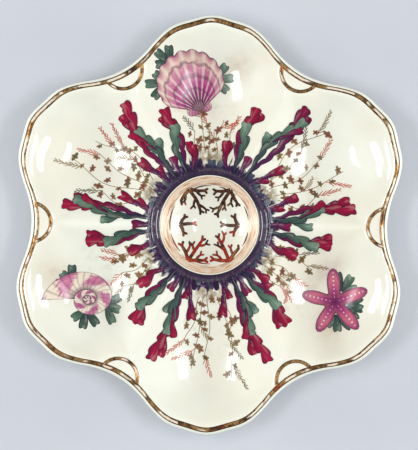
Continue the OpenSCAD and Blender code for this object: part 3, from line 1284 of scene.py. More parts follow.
def dress(piece: bpy.types.Object, material: bpy.types.Material, replaced: str = "") -> None:
    """Gives a finished piece its material and its place in the frame.

    Args:
        piece: The finished piece.
        material: Its finish.
        replaced: The CAD node that it stands for, if any.
    """
    piece.data.materials.clear()
    piece.data.materials.append(material)
    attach(piece, "root")
    if replaced:
        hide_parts(replaced)
    LOG.info("%s: %d faces", piece.name, len(piece.data.polygons))


# Sub-assemblies


@dataclass
class PorcelainBody:
    """The moulded body: one closed skin through rows from the sauce well over the lip and back below."""

    form: PlateForm
    columns: int = 480
    sauce_rows: int = 24
    collar_rows: int = 9
    well_rows: int = 76
    lip_rows: int = 6
    edge_rows: int = 8
    under_rows: int = 18
    under_level_r: float = 55 * MM
    under_ring_rows: int = 10
    under_sauce_rows: int = 9
    under_start: float = 0.975
    under_sauce_share: float = 0.88
    crowding: float = 0.4

    def _rows(self, phi: Array) -> list[tuple[Array, Array]]:
        """The rows of the skin, from the plate's middle over the lip and back to the middle below.

        Args:
            phi: Angle of each column from the middle of its lobe.

        Returns:
            The radius and height of each row at every column.
        """
        form = self.form
        same = np.ones_like(phi)
        rows = [(r * same, form.sauce_z(r * same)) for r in np.linspace(0, form.collar_r, self.sauce_rows)]
        for r in np.linspace(form.collar_r, form.collar_foot_r, self.collar_rows + 1)[1:]:
            rows.append((r * same, form.slope_z(r * same)))
        steps = np.linspace(0, 1, self.well_rows + 1)[1:]
        for share in steps - self.crowding / (2 * np.pi) * np.sin(2 * np.pi * steps):
            r = form.collar_foot_r + (form.brim_r(phi) - form.collar_foot_r) * share
            rows.append((r, form.top_z(r, phi)))
        for inset in np.linspace(form.lip_w, form.lip_round, self.lip_rows + 1)[1:]:
            rows.append((form.outline_r(phi) - inset, form.lip_top_z(phi, inset * same)))
        for turn in np.linspace(np.pi / 2, -np.pi / 2, self.edge_rows + 1)[1:]:
            inset = form.lip_round * (1 - np.cos(turn))
            rows.append((form.outline_r(phi) - inset, form.lip_z(phi) - form.lip_round * (1 - np.sin(turn))))
        for share in np.linspace(self.under_start, 0, self.under_rows):
            r = self.under_level_r + (form.brim_r(phi) - self.under_level_r) * share
            rows.append((r, form.under_z(r, phi)))
        below_ridges = np.linspace(self.under_level_r, form.collar_foot_r, self.under_ring_rows + 1)[1:]
        below_bowl = np.linspace(form.collar_r * self.under_sauce_share, 0, self.under_sauce_rows)
        rows += [(r * same, form.under_z(r * same, phi)) for r in np.concatenate([below_ridges, below_bowl])]
        return rows

    def build(self, washes: Sequence[Wash]) -> None:
        """Makes the body.

        Args:
            washes: Soft patches of colour in its glaze.
        """
        theta = np.linspace(0, 2 * np.pi, self.columns + 1)
        phi = self.form.fold(theta)
        rows = self._rows(phi)
        radii = np.array([r for r, _ in rows])
        heights = np.array([z for _, z in rows])
        body, along, across = grid_sheet("porcelain_body", len(rows) - 1, self.columns)
        i = np.rint(along * (len(rows) - 1)).astype(int)
        j = np.rint(across * self.columns).astype(int)
        x = np.clip(radii[i, j] * np.cos(theta[j]), -self.form.half_width, self.form.half_width)
        place_vertices(body, x, radii[i, j] * np.sin(theta[j]), heights[i, j])
        mark(body, "painted", i < self.sauce_rows + self.collar_rows + self.well_rows)
        close_seams(body)
        smooth(body, 60)
        dress(body, PorcelainGlaze(self.form).material(washes), "plate_body")


@dataclass
class FootRing:
    """The ring that the plate stands on."""

    node: str = "foot_ring"

    def build(self) -> None:
        """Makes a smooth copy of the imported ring."""
        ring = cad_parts[self.node].copy()
        ring.data = ring.data.copy()
        ring.name = "foot_ring_smooth"
        ring.parent = None
        for key in list(ring.keys()):
            if key.startswith("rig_"):
                del ring[key]
        bpy.context.scene.collection.objects.link(ring)
        close_seams(ring, 0.01 * MM)
        smooth(ring, 40)
        dress(ring, BisqueFoot().material(), self.node)


@dataclass
class Gilding:
    """The fired gold: the lip's band, the notch lines, the collar's band and the coral."""

    form: PlateForm
    thickness: float = 0.05 * MM
    lift: float = 0.05 * MM
    notch_line_w: float = 1.9 * MM
    notch_overlap: float = 0.9 * MM
    line_crown: float = 0.18 * MM
    band_w: float = 5.2 * MM
    band_inset: float = 0.7 * MM
    coral_l: float = 15.5 * MM
    coral_stem_w: float = 1.9 * MM
    coral_branch: float = 4.8 * MM
    coral_sink: float = 0.3 * MM
    coral_loose_r: float = 16 * MM
    coral_sprays: int = 6
    coral_lines: int = 9
    coral_layer_lift: float = 0.015 * MM

    def _finish_layer(self, piece: bpy.types.Object, finish: FiredGold | CollarLustre, node: str) -> None:
        """Thickens a gilt sheet and dresses it.

        Args:
            piece: The sheet, already on the glaze.
            finish: Its finish.
            node: The CAD node that it stands for.
        """
        thicken(piece, self.thickness)
        smooth(piece)
        dress(piece, finish.material(), node)

    def lip_band(self) -> None:
        """Makes the band on the lip's crown."""
        form = self.form
        sheet, across, around = grid_sheet("gilt_lip_band", 8, 720)
        theta = 2 * np.pi * around
        phi = form.fold(theta)
        inset = form.lip_w + (form.lip_round - form.lip_w) * across
        r = form.outline_r(phi) - inset
        place_vertices(sheet, r * np.cos(theta), r * np.sin(theta), form.lip_top_z(phi, inset) + self.lift)
        mark(sheet, "along", around)
        mark(sheet, "across", 2 * across - 1)
        close_seams(sheet)
        # The lip's gold carries a painted highlight towards the plate's sides and painted copper-red reflections.
        self._finish_layer(sheet, FiredGold("lip_gold", patch_scale=95.0), "rim_gilding")

    def notch_lines(self) -> None:
        """Makes the line round the land in each notch."""
        form = self.form
        radius = form.land_r - self.notch_line_w / 2
        brim_arm = form.notch_r + form.lip_w - self.notch_overlap
        reach = math.acos((brim_arm**2 - form.notch_r**2 - radius**2) / (2 * form.notch_r * radius))
        lines = []
        for lobe in range(form.lobes):
            line, along, across = grid_sheet("notch_line", 40, 8)
            turn = reach * (2 * along - 1)
            side = 2 * across - 1
            arm = radius + side * self.notch_line_w / 2
            x, y = form.notch_rim_r - arm * np.cos(turn), arm * np.sin(turn)
            notch = form.lobe_angle(lobe + 0.5)
            plan_x = x * math.cos(notch) - y * math.sin(notch)
            plan_y = x * math.sin(notch) + y * math.cos(notch)
            px, py, pz = form.drape(plan_x, plan_y, self.lift)
            place_vertices(line, px, py, pz + self.line_crown * (1 - side**2))
            mark(line, "along", (lobe + along) / form.lobes)
            mark(line, "across", side)
            lines.append(line)
        # Its gold also carries the painted side highlight and painted copper-red reflections.
        gold = FiredGold("notch_gold", pale_share=0.28)
        self._finish_layer(join(lines, "gilt_notch_lines"), gold, "notch_gilding")

    def collar_band(self) -> None:
        """Makes the band on the collar's inner slope."""
        form = self.form
        sheet, across, around = grid_sheet("gilt_collar_band", 14, 240)
        theta = 2 * np.pi * around
        r = form.collar_r - self.band_w + (self.band_w - self.band_inset) * across
        place_vertices(sheet, *form.drape(r * np.cos(theta), r * np.sin(theta), self.lift))
        mark(sheet, "along", around)
        mark(sheet, "across", 2 * across - 1)
        close_seams(sheet)
        self._finish_layer(sheet, CollarLustre(), "collar_gilding")

    def _inside_band(self, at: tuple[float, float], heading: float, length: float) -> bool:
        """Whether a straight branch ends clear of the collar's band."""
        x, y = polar(length, heading)
        return math.hypot(at[0] + x, at[1] + y) < self.form.collar_r - self.band_w - self.coral_stem_w / 2

    def _coral_stem(self, at: tuple[float, float], heading: float, length: float, width: float, turn: float,
                    forks: int, chance: random.Random) -> list[Stroke]:
        """Strokes of a coral stem with blunt branches on alternate sides and a forked tip.

        Args:
            at: Where its root lies.
            heading: Direction at the root.
            length: Length of the stem.
            width: Its width at the root.
            turn: Bend from root to tip.
            forks: Number of branches below the tip.
            chance: Source of the small differences.

        Returns:
            The strokes.
        """
        stem = Stroke(*at, heading, length, width / 2, turn=turn, sway=chance.uniform(-0.25, 0.25), root_share=1.1,
                      tip_share=0.7, belly_share=0.2, layer=chance.randrange(5), rows=14)
        strokes = [stem]
        side = chance.choice((-1, 1))
        for i in range(forks):
            share = 0.42 + 0.5 * i / max(1, forks)
            at, lean = stem.point_at(share), side * chance.uniform(0.75, 1.05)
            if not self._inside_band(at, stem.heading_at(share) + lean, self.coral_branch):
                lean = -lean
            branch = self.coral_branch * chance.uniform(0.75, 1.15)
            strokes += self._coral_stem(at, stem.heading_at(share) + lean, branch, width * 0.78,
                                        -lean * chance.uniform(0.1, 0.6), 0, chance)
            side = -side
        at = stem.point_at(0.9)
        for bend in (-0.6, 0.55):
            aim = stem.heading_at(1) + bend * chance.uniform(0.8, 1.3)
            if self._inside_band(at, aim, self.coral_branch * 0.6):
                strokes.append(Stroke(*at, aim, self.coral_branch * chance.uniform(0.45, 0.62), width * 0.36,
                                      root_share=1, tip_share=0.9, belly_share=0.2, layer=chance.randrange(5),
                                      rows=8))
        return strokes

    def _coral_spray(self, angle: float, chance: random.Random) -> list[Stroke]:
        """Strokes of one coral spray: a stem towards the plate's middle and one along the band on either side.

        Args:
            angle: Direction of its root from the plate's middle.
            chance: Source of the small differences between sprays.

        Returns:
            The spray's strokes.
        """
        loose = abs(math.sin(angle)) < 0.1
        root_r = self.coral_loose_r if loose else self.form.collar_r - self.band_w + self.coral_sink
        root = polar(root_r, angle)
        strokes: list[Stroke] = []
        for lean, share, forks in ((-1.2, 0.6, 1), (0.05, 1.0, 2), (1.2, 0.6, 1)):
            lean += chance.uniform(-0.14, 0.14)
            length = self.coral_l * share * chance.uniform(0.9, 1.05) * (0.55 if loose else 1)
            strokes += self._coral_stem(root, angle + math.pi + lean, length, self.coral_stem_w, -lean * 0.2,
                                        0 if loose else forks, chance)
        return strokes

    def coral(self) -> None:
        """Makes the coral sprays on the sauce well's floor and the brush lines that join their roots."""
        form = self.form
        chance = random.Random(4)
        strokes: list[Stroke] = []
        for spray in range(self.coral_sprays):
            strokes += self._coral_spray(form.lobe_angle(0.5) + 2 * math.pi * spray / self.coral_sprays, chance)
        for i in range(self.coral_lines):
            angle = 2 * math.pi * (i + chance.uniform(-0.3, 0.3)) / self.coral_lines
            r = form.collar_r - self.band_w - chance.uniform(0.2, 0.8) * MM
            sweep = chance.uniform(0.35, 0.7)
            strokes.append(Stroke(*polar(r, angle), angle + math.pi / 2, r * sweep, chance.uniform(0.26, 0.44) * MM,
                                  turn=sweep, root_share=0.3, tip_share=0.3, belly_share=0.5, layer=i % 5, rows=20,
                                  columns=2))
        sheets = [line.build(form, self.lift, self.coral_layer_lift, i * 0.7) for i, line in enumerate(strokes)]
        # The coral's copper-red patches are painted reflections, stronger towards negative y; it has no painted side
        # highlight.
        gold = FiredGold("coral_gold", deep="2a1712", gold="45271d", bright="6a3f28", pale="a06c3a", copper_reflection="b83018",
                         border="2a1711", border_share=0.15, pale_share=0.24, copper_reflection_share=0.24, metallic=0.2,
                         side_painted_highlight=0.0, copper_reflection_fall=7.0)
        self._finish_layer(join(sheets, "gilt_coral"), gold, "coral_gilding")

    def build(self) -> None:
        """Makes all the gilding."""
        self.lip_band()
        self.notch_lines()
        self.collar_band()
        self.coral()


SEAWEED_TONES = (
    (0.0, "241a3e"), (0.08, "2c3a4c"), (0.20, "40594f"), (0.36, "5a7a66"), (0.50, "8ea894"),
    (0.55, "3c1c56"), (0.64, "661a50"), (0.78, "8c0b38"), (1.0, "ae1242"),
)


@dataclass
class SeaweedFans:
    """A fan of lobed weed on each ridge: two long strands, green before crimson, and short crimson weed."""

    form: PlateForm
    root_r: float = 30.5 * MM
    seed: int = 7
    lobe_pitch: float = 8.2 * MM
    tall_l: float = 52 * MM
    low_l: float = 40 * MM
    bud_l: float = 12 * MM
    leaf_pitch: float = 10 * MM
    stalk_half: float = 1.15 * MM
    behind_half: float = 3.4 * MM
    green_half: float = 3.25 * MM
    fork_half: float = 2.9 * MM
    spur_half: float = 2.3 * MM
    over_half: float = 2.2 * MM
    bud_half: float = 2.6 * MM
    short_half: float = 2.9 * MM
    short_fork_half: float = 2.5 * MM
    tall_layer: int = 10
    low_layer: int = 7

    def _frond(self, at: tuple[float, float], heading: float, length: float, half_width: float,
               tone: tuple[float, float], layer: int, turn: float = 0.0, sway: float = 0.0,
               belly: float = 0.6) -> Stroke:
        """One lobed frond with as many lobes as its length carries.

        Args:
            at: Where its root lies.
            heading: Direction at the root.
            length: Length of its middle line.
            half_width: Half width over the lobes.
            tone: Place on the row of colours at the root and at the tip.
            layer: Its layer of paint.
            turn: Bend from root to tip.
            sway: Size of its double curve.
            belly: Share of the length where it is widest.

        Returns:
            The frond.
        """
        lobes = max(1.0, round(2 * length / self.lobe_pitch) / 2)
        return Stroke(*at, heading, length, half_width, turn=turn, sway=sway, root_share=0.3, tip_share=0.85,
                      belly_share=belly, lobes=lobes, lobe_depth=0.58, lobe_shape=0.75, sweep=1.15,
                      cleft=0.1 + (length / MM % 1) * 0.7, tone=tone, layer=layer, rows=max(16, round(lobes * 11)),
                      columns=8)

    def _leafy(self, at: tuple[float, float], heading: float, length: float, leaf: float, tone: tuple[float, float],
               layer: int, turn: float, chance: random.Random) -> list[Stroke]:
        """A thin dark stalk with round-ended leaves on alternate sides and one at its tip.

        Args:
            at: Where its root lies.
            heading: Direction at the root.
            length: Length of the stalk.
            leaf: Length of its largest leaf.
            tone: Place on the row of colours at the root and at the tip of each leaf.
            layer: Its layer of paint.
            turn: Bend from root to tip.
            chance: Source of the small differences.

        Returns:
            The stalk and its leaves.
        """
        stalk = Stroke(*at, heading, length, self.stalk_half, turn=turn, root_share=0.8, tip_share=0.9,
                       belly_share=0.4, tone=(0.54, 0.7), layer=layer, rows=14)
        strokes = [stalk]
        count = max(1, round(length / self.leaf_pitch))
        side = chance.choice((-1, 1))
        for i in range(count):
            share = 0.34 + 0.6 * i / count
            size = leaf * (0.68 + 0.3 * share) * chance.uniform(0.85, 1.1)
            aim = stalk.heading_at(share) + side * chance.uniform(0.35, 0.6)
            strokes.append(Stroke(*stalk.point_at(share), aim, size, size * 0.22,
                                  turn=-side * chance.uniform(0.1, 0.5), root_share=0.45, tip_share=0.95,
                                  belly_share=0.75, lobes=chance.choice((0, 1.5)), lobe_depth=0.35,
                                  cleft=chance.choice((0.2, 0.6, 1.1)), tone=tone, layer=layer + 1 + i % 2, rows=16,
                                  columns=6))
            side = -side
        strokes.append(Stroke(*stalk.point_at(0.9), stalk.heading_at(1), leaf * 1.1, leaf * 0.25, root_share=0.45,
                              tip_share=0.95, belly_share=0.7, lobes=1.5, lobe_depth=0.4,
                              cleft=chance.choice((0.3, 1.1, 1.3)), tone=tone, layer=layer + 3, rows=18, columns=6))
        return strokes

    def _strand(self, ridge: float, side: int, length: float, layer: int, tall: bool,
                chance: random.Random) -> list[Stroke]:
        """A long strand beside the ridge: a crimson or violet frond behind a green one, both forked.

        Args:
            ridge: Direction of the ridge.
            side: Side of the ridge, -1 or 1.
            length: Length of the frond behind.
            layer: Layer of the green frond.
            tall: Whether this is the fan's longer strand.
            chance: Source of the small differences.

        Returns:
            The strand's fronds.
        """
        lean = chance.uniform(0.1, 0.17) if tall else chance.uniform(0.18, 0.26)
        tip = chance.choice((0.94, 0.74, 1.0)) if tall else chance.choice((0.92, 0.97))
        bend = side * chance.uniform(-0.06, 0.12)
        behind = self._frond(polar(self.root_r, ridge + side * 0.09), ridge + side * lean, length, self.behind_half,
                             (0.54, tip), layer - 3, turn=bend, sway=side * chance.uniform(0.16, 0.3), belly=0.82)
        shorter = chance.choice((0.68, 0.78, 0.9) if tall else (0.64, 0.74, 0.82))
        green = self._frond(polar(self.root_r, ridge + side * 0.1), ridge + side * (lean + 0.07), length * shorter,
                            self.green_half, (0.02, chance.uniform(0.4, 0.49)), layer, turn=bend,
                            sway=-side * chance.uniform(0.1, 0.28), belly=0.74)
        at, out = chance.uniform(0.6, 0.7), side if tall else -side
        fork = self._frond(behind.point_at(at), behind.heading_at(at) + out * 0.5, chance.uniform(12, 16) * MM,
                           self.fork_half, (0.58, tip), layer - 4, turn=-out * 0.4)
        spur_l = chance.uniform(9, 13) * MM
        if not tall:
            return [behind, green, fork]
        spur = self._frond(green.point_at(0.4), green.heading_at(0.4) - side * 0.6, spur_l, self.spur_half,
                           (0.14, 0.46), layer - 1, turn=side * 0.6)
        over = self._frond(green.point_at(0.55), green.heading_at(0.55) + side * 0.2, length * 0.34, self.over_half,
                           (0.6, tip), layer + 1, turn=side * 0.2, belly=0.8)
        return [behind, green, fork, spur, over]

    def _short(self, ridge: float, side: int, leafy: bool, chance: random.Random) -> list[Stroke]:
        """The short crimson weed between a ridge and the next well.

        Args:
            ridge: Direction of the ridge.
            side: Side of the ridge, -1 or 1.
            leafy: Whether it is a stalk with leaves in place of a forked frond.
            chance: Source of the small differences.

        Returns:
            Its strokes.
        """
        root = polar(self.root_r, ridge + side * chance.uniform(0.2, 0.26))
        heading = ridge + side * chance.uniform(0.34, 0.46)
        if leafy:
            return self._leafy(root, heading, chance.uniform(9, 14) * MM, chance.uniform(10.5, 12.5) * MM,
                               (0.56, chance.uniform(0.85, 1.0)), 2, side * chance.uniform(0.0, 0.2), chance)
        frond = self._frond(root, heading, chance.uniform(15, 23) * MM, self.short_half,
                            (0.54, chance.uniform(0.9, 1.0)), 4, turn=side * chance.uniform(0.0, 0.2),
                            sway=side * 0.2, belly=0.7)
        fork = self._frond(frond.point_at(0.45), frond.heading_at(0.45) - side * 0.5, chance.uniform(8, 12) * MM,
                           self.short_fork_half, (0.58, 0.92), 3, turn=side * 0.3)
        return [frond, fork]

    def _fan(self, ridge: float, way: int, chance: random.Random) -> list[Stroke]:
        """Strokes of one fan.

        Args:
            ridge: Direction of the ridge.
            way: Side of the longer strand, -1 or 1.
            chance: Source of the small differences between fans.

        Returns:
            The fan's strokes.
        """
        strokes: list[Stroke] = []
        for side in (-1, 1):
            tall = side == way
            length = about(self.tall_l if tall else self.low_l, 0.08, chance)
            strokes += self._strand(ridge, side, length, self.tall_layer if tall else self.low_layer, tall, chance)
            strokes += self._short(ridge, side, tall, chance)
        strokes.append(self._frond(polar(self.root_r, ridge), ridge + way * 0.1, about(self.bud_l, 0.2, chance),
                                   self.bud_half, (0.53, 0.74), 3, turn=-way * 0.3, belly=0.7))
        return strokes

    def build(self) -> None:
        """Makes the six fans."""
        chance = random.Random(self.seed)
        enamel = Enamel("seaweed_enamel", SEAWEED_TONES, outline="150d22", outline_w=0.4).material()
        for lobe in range(self.form.lobes):
            piece = PaintedPiece(self.form, f"seaweed_fan_{lobe + 1}", enamel)
            piece.add(*self._fan(self.form.lobe_angle(lobe + 0.5), -1 if lobe % 2 else 1, chance))
            piece.build()


TUFT_TONES = ((0.0, "20122c"), (0.25, "3a1c46"), (0.5, "7c6a8c"), (0.56, "2a2444"), (0.8, "56606c"), (1.0, "9a9078"))


@dataclass
class CollarTufts:
    """Short dark strokes that break the outer edge of the painted ring round the collar."""

    form: PlateForm
    count: int = 66
    seed: int = 3
    inner_r: float = 29.8 * MM
    reach: float = 3.7 * MM
    half_width: float = 1.15 * MM
    # Places on the row of colours at a tuft's root and tip
    tones: tuple[tuple[float, float], ...] = (
        (0.0, 0.2), (0.05, 0.35), (0.1, 0.5), (0.57, 0.8), (0.6, 0.95), (0.57, 0.7))

    def build(self) -> None:
        """Makes the tufts."""
        chance = random.Random(self.seed)
        enamel = Enamel("tuft_enamel", TUFT_TONES, outline_w=0.12, pattern=Pattern.TWIG).material()
        piece = PaintedPiece(self.form, "collar_tufts", enamel)
        for i in range(self.count):
            angle = 2 * math.pi * (i + chance.uniform(-0.4, 0.4)) / self.count
            tone = chance.choice(self.tones)
            r = self.inner_r + chance.uniform(0, 2.5) * MM
            piece.add(Stroke(*polar(r, angle), angle + chance.uniform(-0.4, 0.4),
                             self.reach * chance.uniform(0.6, 1.6), self.half_width * chance.uniform(0.6, 1.5),
                             turn=chance.uniform(-0.5, 0.5), root_share=0.8, tip_share=0.8, belly_share=0.5,
                             tone=tone, layer=i % 3, rows=10, columns=4))
        piece.build()


TWIG_TONES = ((0.0, "4d4a2c"), (0.2, "6c5c34"), (0.4, "94703c"), (0.55, "7a4a2c"), (0.75, "c2543a"), (1.0, "7c2a34"))
FLOWER_TONES = ((0.0, "5f583a"), (0.25, "837046"), (0.45, "967a58"), (0.65, "8a6246"), (1.0, "8e5648"))


@dataclass
class Sprigs:
    """Loose star flowers on thin stems and feathered twigs in every well."""

    form: PlateForm
    seed: int = 11
    stem_half: float = 0.17 * MM
    flower_r: float = 2.25 * MM
    flower_pitch: float = 5.8 * MM
    needle: float = 2.9 * MM
    needle_half: float = 0.23 * MM
    needle_pitch: float = 0.95 * MM
    # For each stem: its root's distance in mm and degrees aside, its lean in degrees and its length in mm
    stems: tuple[tuple[float, float, float, float], ...] = (
        (39, -5, -12, 42), (40, 5, 9, 47), (38, 0, -1, 38), (40, 8, 22, 27), (40, -8, -22, 28))
    # For each twig: its stem and the place on it, its lean, its length in mm and its place on the row of colours
    twigs: tuple[tuple[int, float, float, float, float], ...] = (
        (0, 0.72, -0.7, 15, 0.74), (1, 0.82, 0.6, 17, 0.3), (2, 0.9, 0.35, 14, 0.74), (3, 0.95, 0.5, 15, 0.1),
        (4, 0.9, -0.4, 15, 0.72), (0, 0.4, 0.6, 10, 0.4))

    def _stem(self, lobe: int, spec: tuple[float, float, float, float], share: float,
              chance: random.Random) -> Stroke:
        """One thin stem in a well.

        Args:
            lobe: The well.
            spec: The stem's row in stems.
            share: Share of its length that there is room for.
            chance: Source of the small differences.

        Returns:
            The stem.
        """
        r, degrees, lean, length = spec
        out = self.form.lobe_angle(lobe) + math.radians(degrees + chance.uniform(-2, 2))
        bend = math.radians(lean * chance.uniform(0.8, 1.3))
        return Stroke(*polar(r * MM, out), out + bend, length * share * MM, self.stem_half, turn=-bend * 1.2,
                      sway=chance.uniform(-0.55, 0.55), root_share=1, tip_share=0.8, tone=(0.3, 0.5), rows=26,
                      columns=2)

    def _flowers(self, stem: Stroke, chance: random.Random) -> list[Rosette]:
        """The star flowers beside one stem.

        Args:
            stem: The stem.
            chance: Source of the small differences.

        Returns:
            The flowers, from the root of the stem to its tip.
        """
        flowers = []
        count = max(3, round(stem.length / self.flower_pitch))
        for i in range(count):
            at = (i + chance.uniform(0.3, 0.9)) / count
            off = (-1) ** i * chance.uniform(0.2, 3.0) * MM
            turn = stem.heading_at(at)
            x, y = stem.point_at(at)
            tone = chance.uniform(0.0, 0.9)
            flowers.append(Rosette(x - off * math.sin(turn), y + off * math.cos(turn),
                                   self.flower_r * chance.uniform(0.7, 1.15), chance.choice((4, 5, 5)),
                                   chance.uniform(0, 6), (tone + 0.1, tone), depth=0.5, uneven=0.24, layer=1, rows=1,
                                   steps=4))
        return flowers

    def _twig(self, at: tuple[float, float], heading: float, length: float, bend: float, tone: float,
              chance: random.Random) -> list[Stroke]:
        """One feathered twig.

        Args:
            at: Where its root lies.
            heading: Direction at the root.
            length: Its length.
            bend: Bend from root to tip.
            tone: Place on the row of colours.
            chance: Source of the small differences.

        Returns:
            Its stem and its needles.
        """
        stem = Stroke(*at, heading, length, self.stem_half, turn=bend, root_share=1, tip_share=0.5, tone=(tone, tone),
                      rows=14, columns=2)
        strokes = [stem]
        for i in range(int(length * 0.88 / self.needle_pitch)):
            share = 0.12 + i * self.needle_pitch / length
            side = (-1) ** i
            aim = stem.heading_at(share) + side * chance.uniform(0.5, 0.85)
            reach = self.needle * (1.2 - 0.6 * share) * chance.uniform(0.7, 1.2)
            strokes.append(Stroke(*stem.point_at(share), aim, reach, self.needle_half, turn=-side * 0.4,
                                  root_share=0.6, tip_share=0.5, tone=(tone, tone), rows=5, columns=2))
        return strokes

    def build(self, short: Sequence[int]) -> None:
        """Makes the flowers on their stems, and the twigs that branch off them.

        Args:
            short: The wells whose stems stay short because a shell lies there.
        """
        chance = random.Random(self.seed)
        bloom = Enamel("flower_enamel", FLOWER_TONES, outline="5a3a28", outline_w=0.0, pattern=Pattern.FLOWER)
        feather = Enamel("twig_enamel", TWIG_TONES, outline_w=0.0, pattern=Pattern.TWIG)
        flowers = PaintedPiece(self.form, "star_flowers", bloom.material())
        feathers = PaintedPiece(self.form, "feather_twigs", feather.material())
        for lobe in range(self.form.lobes):
            share = 0.5 if lobe in short else 1.0
            stems = []
            for spec in self.stems:
                stem = self._stem(lobe, spec, share, chance)
                stems.append(stem)
                flowers.add(*self._flowers(stem, chance))
                feathers.add(stem)
            for index, at, lean, length, tone in self.twigs:
                stem = stems[index]
                feathers.add(*self._twig(stem.point_at(at), stem.heading_at(at) + lean,
                                         length * MM * (0.5 + share / 2), lean * chance.uniform(-0.3, 0.8), tone,
                                         chance))
        flowers.build()
        feathers.build()


SHELL_TONES = (
    (0.0, "3c1038"), (0.25, "7a1c62"), (0.5, "a8347e"), (0.72, "c87f9c"), (0.88, "d9bcae"), (1.0, "a8587c"),
)
COIL_TONES = ((0.0, "4c1446"), (0.3, "8a2a72"), (0.6, "b04a86"), (0.85, "cc7c9c"), (1.0, "9c3a74"))
STAR_TONES = ((0.0, "6a1c58"), (0.35, "a23a76"), (0.7, "c96c80"), (1.0, "8c3a68"))


@dataclass
class SeaShells:
    """A scallop, a coiled shell and a starfish with leaves round them, one in every second well."""

    form: PlateForm
    wells: tuple[int, ...] = (0, 2, 4)
    seed: int = 5
    shell_r: float = 79 * MM
    valve_r: float = 35 * MM
    ear_l: float = 7.5 * MM
    ear_half: float = 2.8 * MM
    coil_r: float = 22.5 * MM
    star_r: float = 19 * MM
    leaf_l: float = 9.5 * MM
    leaf_half: float = 2.5 * MM
    tan: str = "a47a54"
    plum: str = "9a7266"
    # For each shell: its middle's radius and place aside, and the direction and distance where leaves start
    leaf_rings: tuple[tuple[float, float, tuple[tuple[float, float], ...]], ...] = (
        (80, 12, ((-1.5, 13.5), (1.7, 13.5), (0.9, 14))), (79, 3, ((0.9, 6), (-1.3, 12.5), (2.3, 10))),
        (82, -1, ((1.55, 7), (0.3, 7), (-0.96, 7))))

    def _spot(self, well: int, r: float, aside: float) -> tuple[float, float]:
        """A place in a well, along its middle line and to the left of it."""
        angle = self.form.lobe_angle(well)
        return r * math.cos(angle) - aside * math.sin(angle), r * math.sin(angle) + aside * math.cos(angle)

    def washes(self) -> list[Wash]:
        """Lays two soft shadows below each shell.

        Returns:
            The shadows.
        """
        made = []
        for well in self.wells:
            angle = self.form.lobe_angle(well)
            outer = self._spot(well, self.shell_r + 7 * MM, -12 * MM)
            inner = self._spot(well, self.shell_r - 10 * MM, 11 * MM)
            made.append(Wash(*outer, angle + 0.5, 8 * MM, 13 * MM, self.tan, 0.5))
            made.append(Wash(*inner, angle - 0.4, 6 * MM, 12 * MM, self.plum, 0.45))
        return made

    def scallop(self, well: int) -> None:
        """Makes the scallop.

        Args:
            well: The well that it lies in.
        """
        heading = self.form.lobe_angle(well) + 0.35
        hinge = self._spot(well, self.shell_r - 16 * MM, 6 * MM)
        enamel = Enamel("scallop_enamel", SHELL_TONES, outline="3a1434", outline_w=0.3, pattern=Pattern.RIBBED)
        piece = PaintedPiece(self.form, "scallop_shell", enamel.material())
        for side in (-1, 1):
            piece.add(Stroke(*hinge, heading + side * 1.25, self.ear_l, self.ear_half, root_share=0.5, tip_share=0.9,
                             tone=(0.3, 0.8), layer=1, rows=8, columns=4))
        piece.add(ScallopValve(*hinge, heading, self.valve_r, layer=2))
        piece.build()

    def coil(self, well: int) -> None:
        """Makes the coiled shell.

        Args:
            well: The well that it lies in.
        """
        enamel = Enamel("coil_enamel", COIL_TONES, outline="4a1c40", outline_w=0.3, pattern=Pattern.WHORLED)
        piece = PaintedPiece(self.form, "coiled_shell", enamel.material())
        centre = self._spot(well, self.shell_r, 3 * MM)
        piece.add(CoiledShell(*centre, self.form.lobe_angle(well) - 0.5, self.coil_r, layer=2))
        piece.build()

    def starfish(self, well: int) -> None:
        """Makes the starfish.

        Args:
            well: The well that it lies in.
        """
        enamel = Enamel("starfish_enamel", STAR_TONES, outline="3a1434", outline_w=0.3, pattern=Pattern.DOTTED)
        piece = PaintedPiece(self.form, "starfish", enamel.material())
        centre = self._spot(well, self.shell_r + 3 * MM, -1 * MM)
        piece.add(Rosette(*centre, self.star_r, 5, 0.4, (0.0, 1.0), depth=0.68, sharpness=2.2, layer=2, rows=16,
                          steps=14))
        piece.build()

    def leaves(self) -> None:
        """Makes small green leaves that reach out from below the shells."""
        chance = random.Random(self.seed)
        piece = PaintedPiece(self.form, "shell_leaves", Enamel("leaf_enamel", SEAWEED_TONES).material())
        for well, (r, aside, starts) in zip(self.wells, self.leaf_rings):
            x, y = self._spot(well, r * MM, aside * MM)
            for turn, reach in starts:
                heading = self.form.lobe_angle(well) + turn
                out = polar(reach * MM, heading)
                for bend in (-0.8, 0, 0.8):
                    piece.add(Stroke(x + out[0], y + out[1], heading + bend, self.leaf_l * chance.uniform(0.8, 1.15),
                                     self.leaf_half, root_share=0.25, tip_share=0.95, belly_share=0.7, cleft=0.8,
                                     tone=(0.1, chance.uniform(0.25, 0.45)), rows=10, columns=4))
        piece.build()

    def build(self) -> None:
        """Makes the shells, each in its own well."""
        self.scallop(self.wells[0])
        self.coil(self.wells[1])
        self.starfish(self.wells[2])
        self.leaves()


@dataclass(frozen=True)
class Softbox:
    """A rectangular light that faces the plate, and whether the glaze mirrors it as a highlight."""

    level: str
    turn: float
    away: float
    size: tuple[float, float]
    radiance: float
    mirrored: bool = True


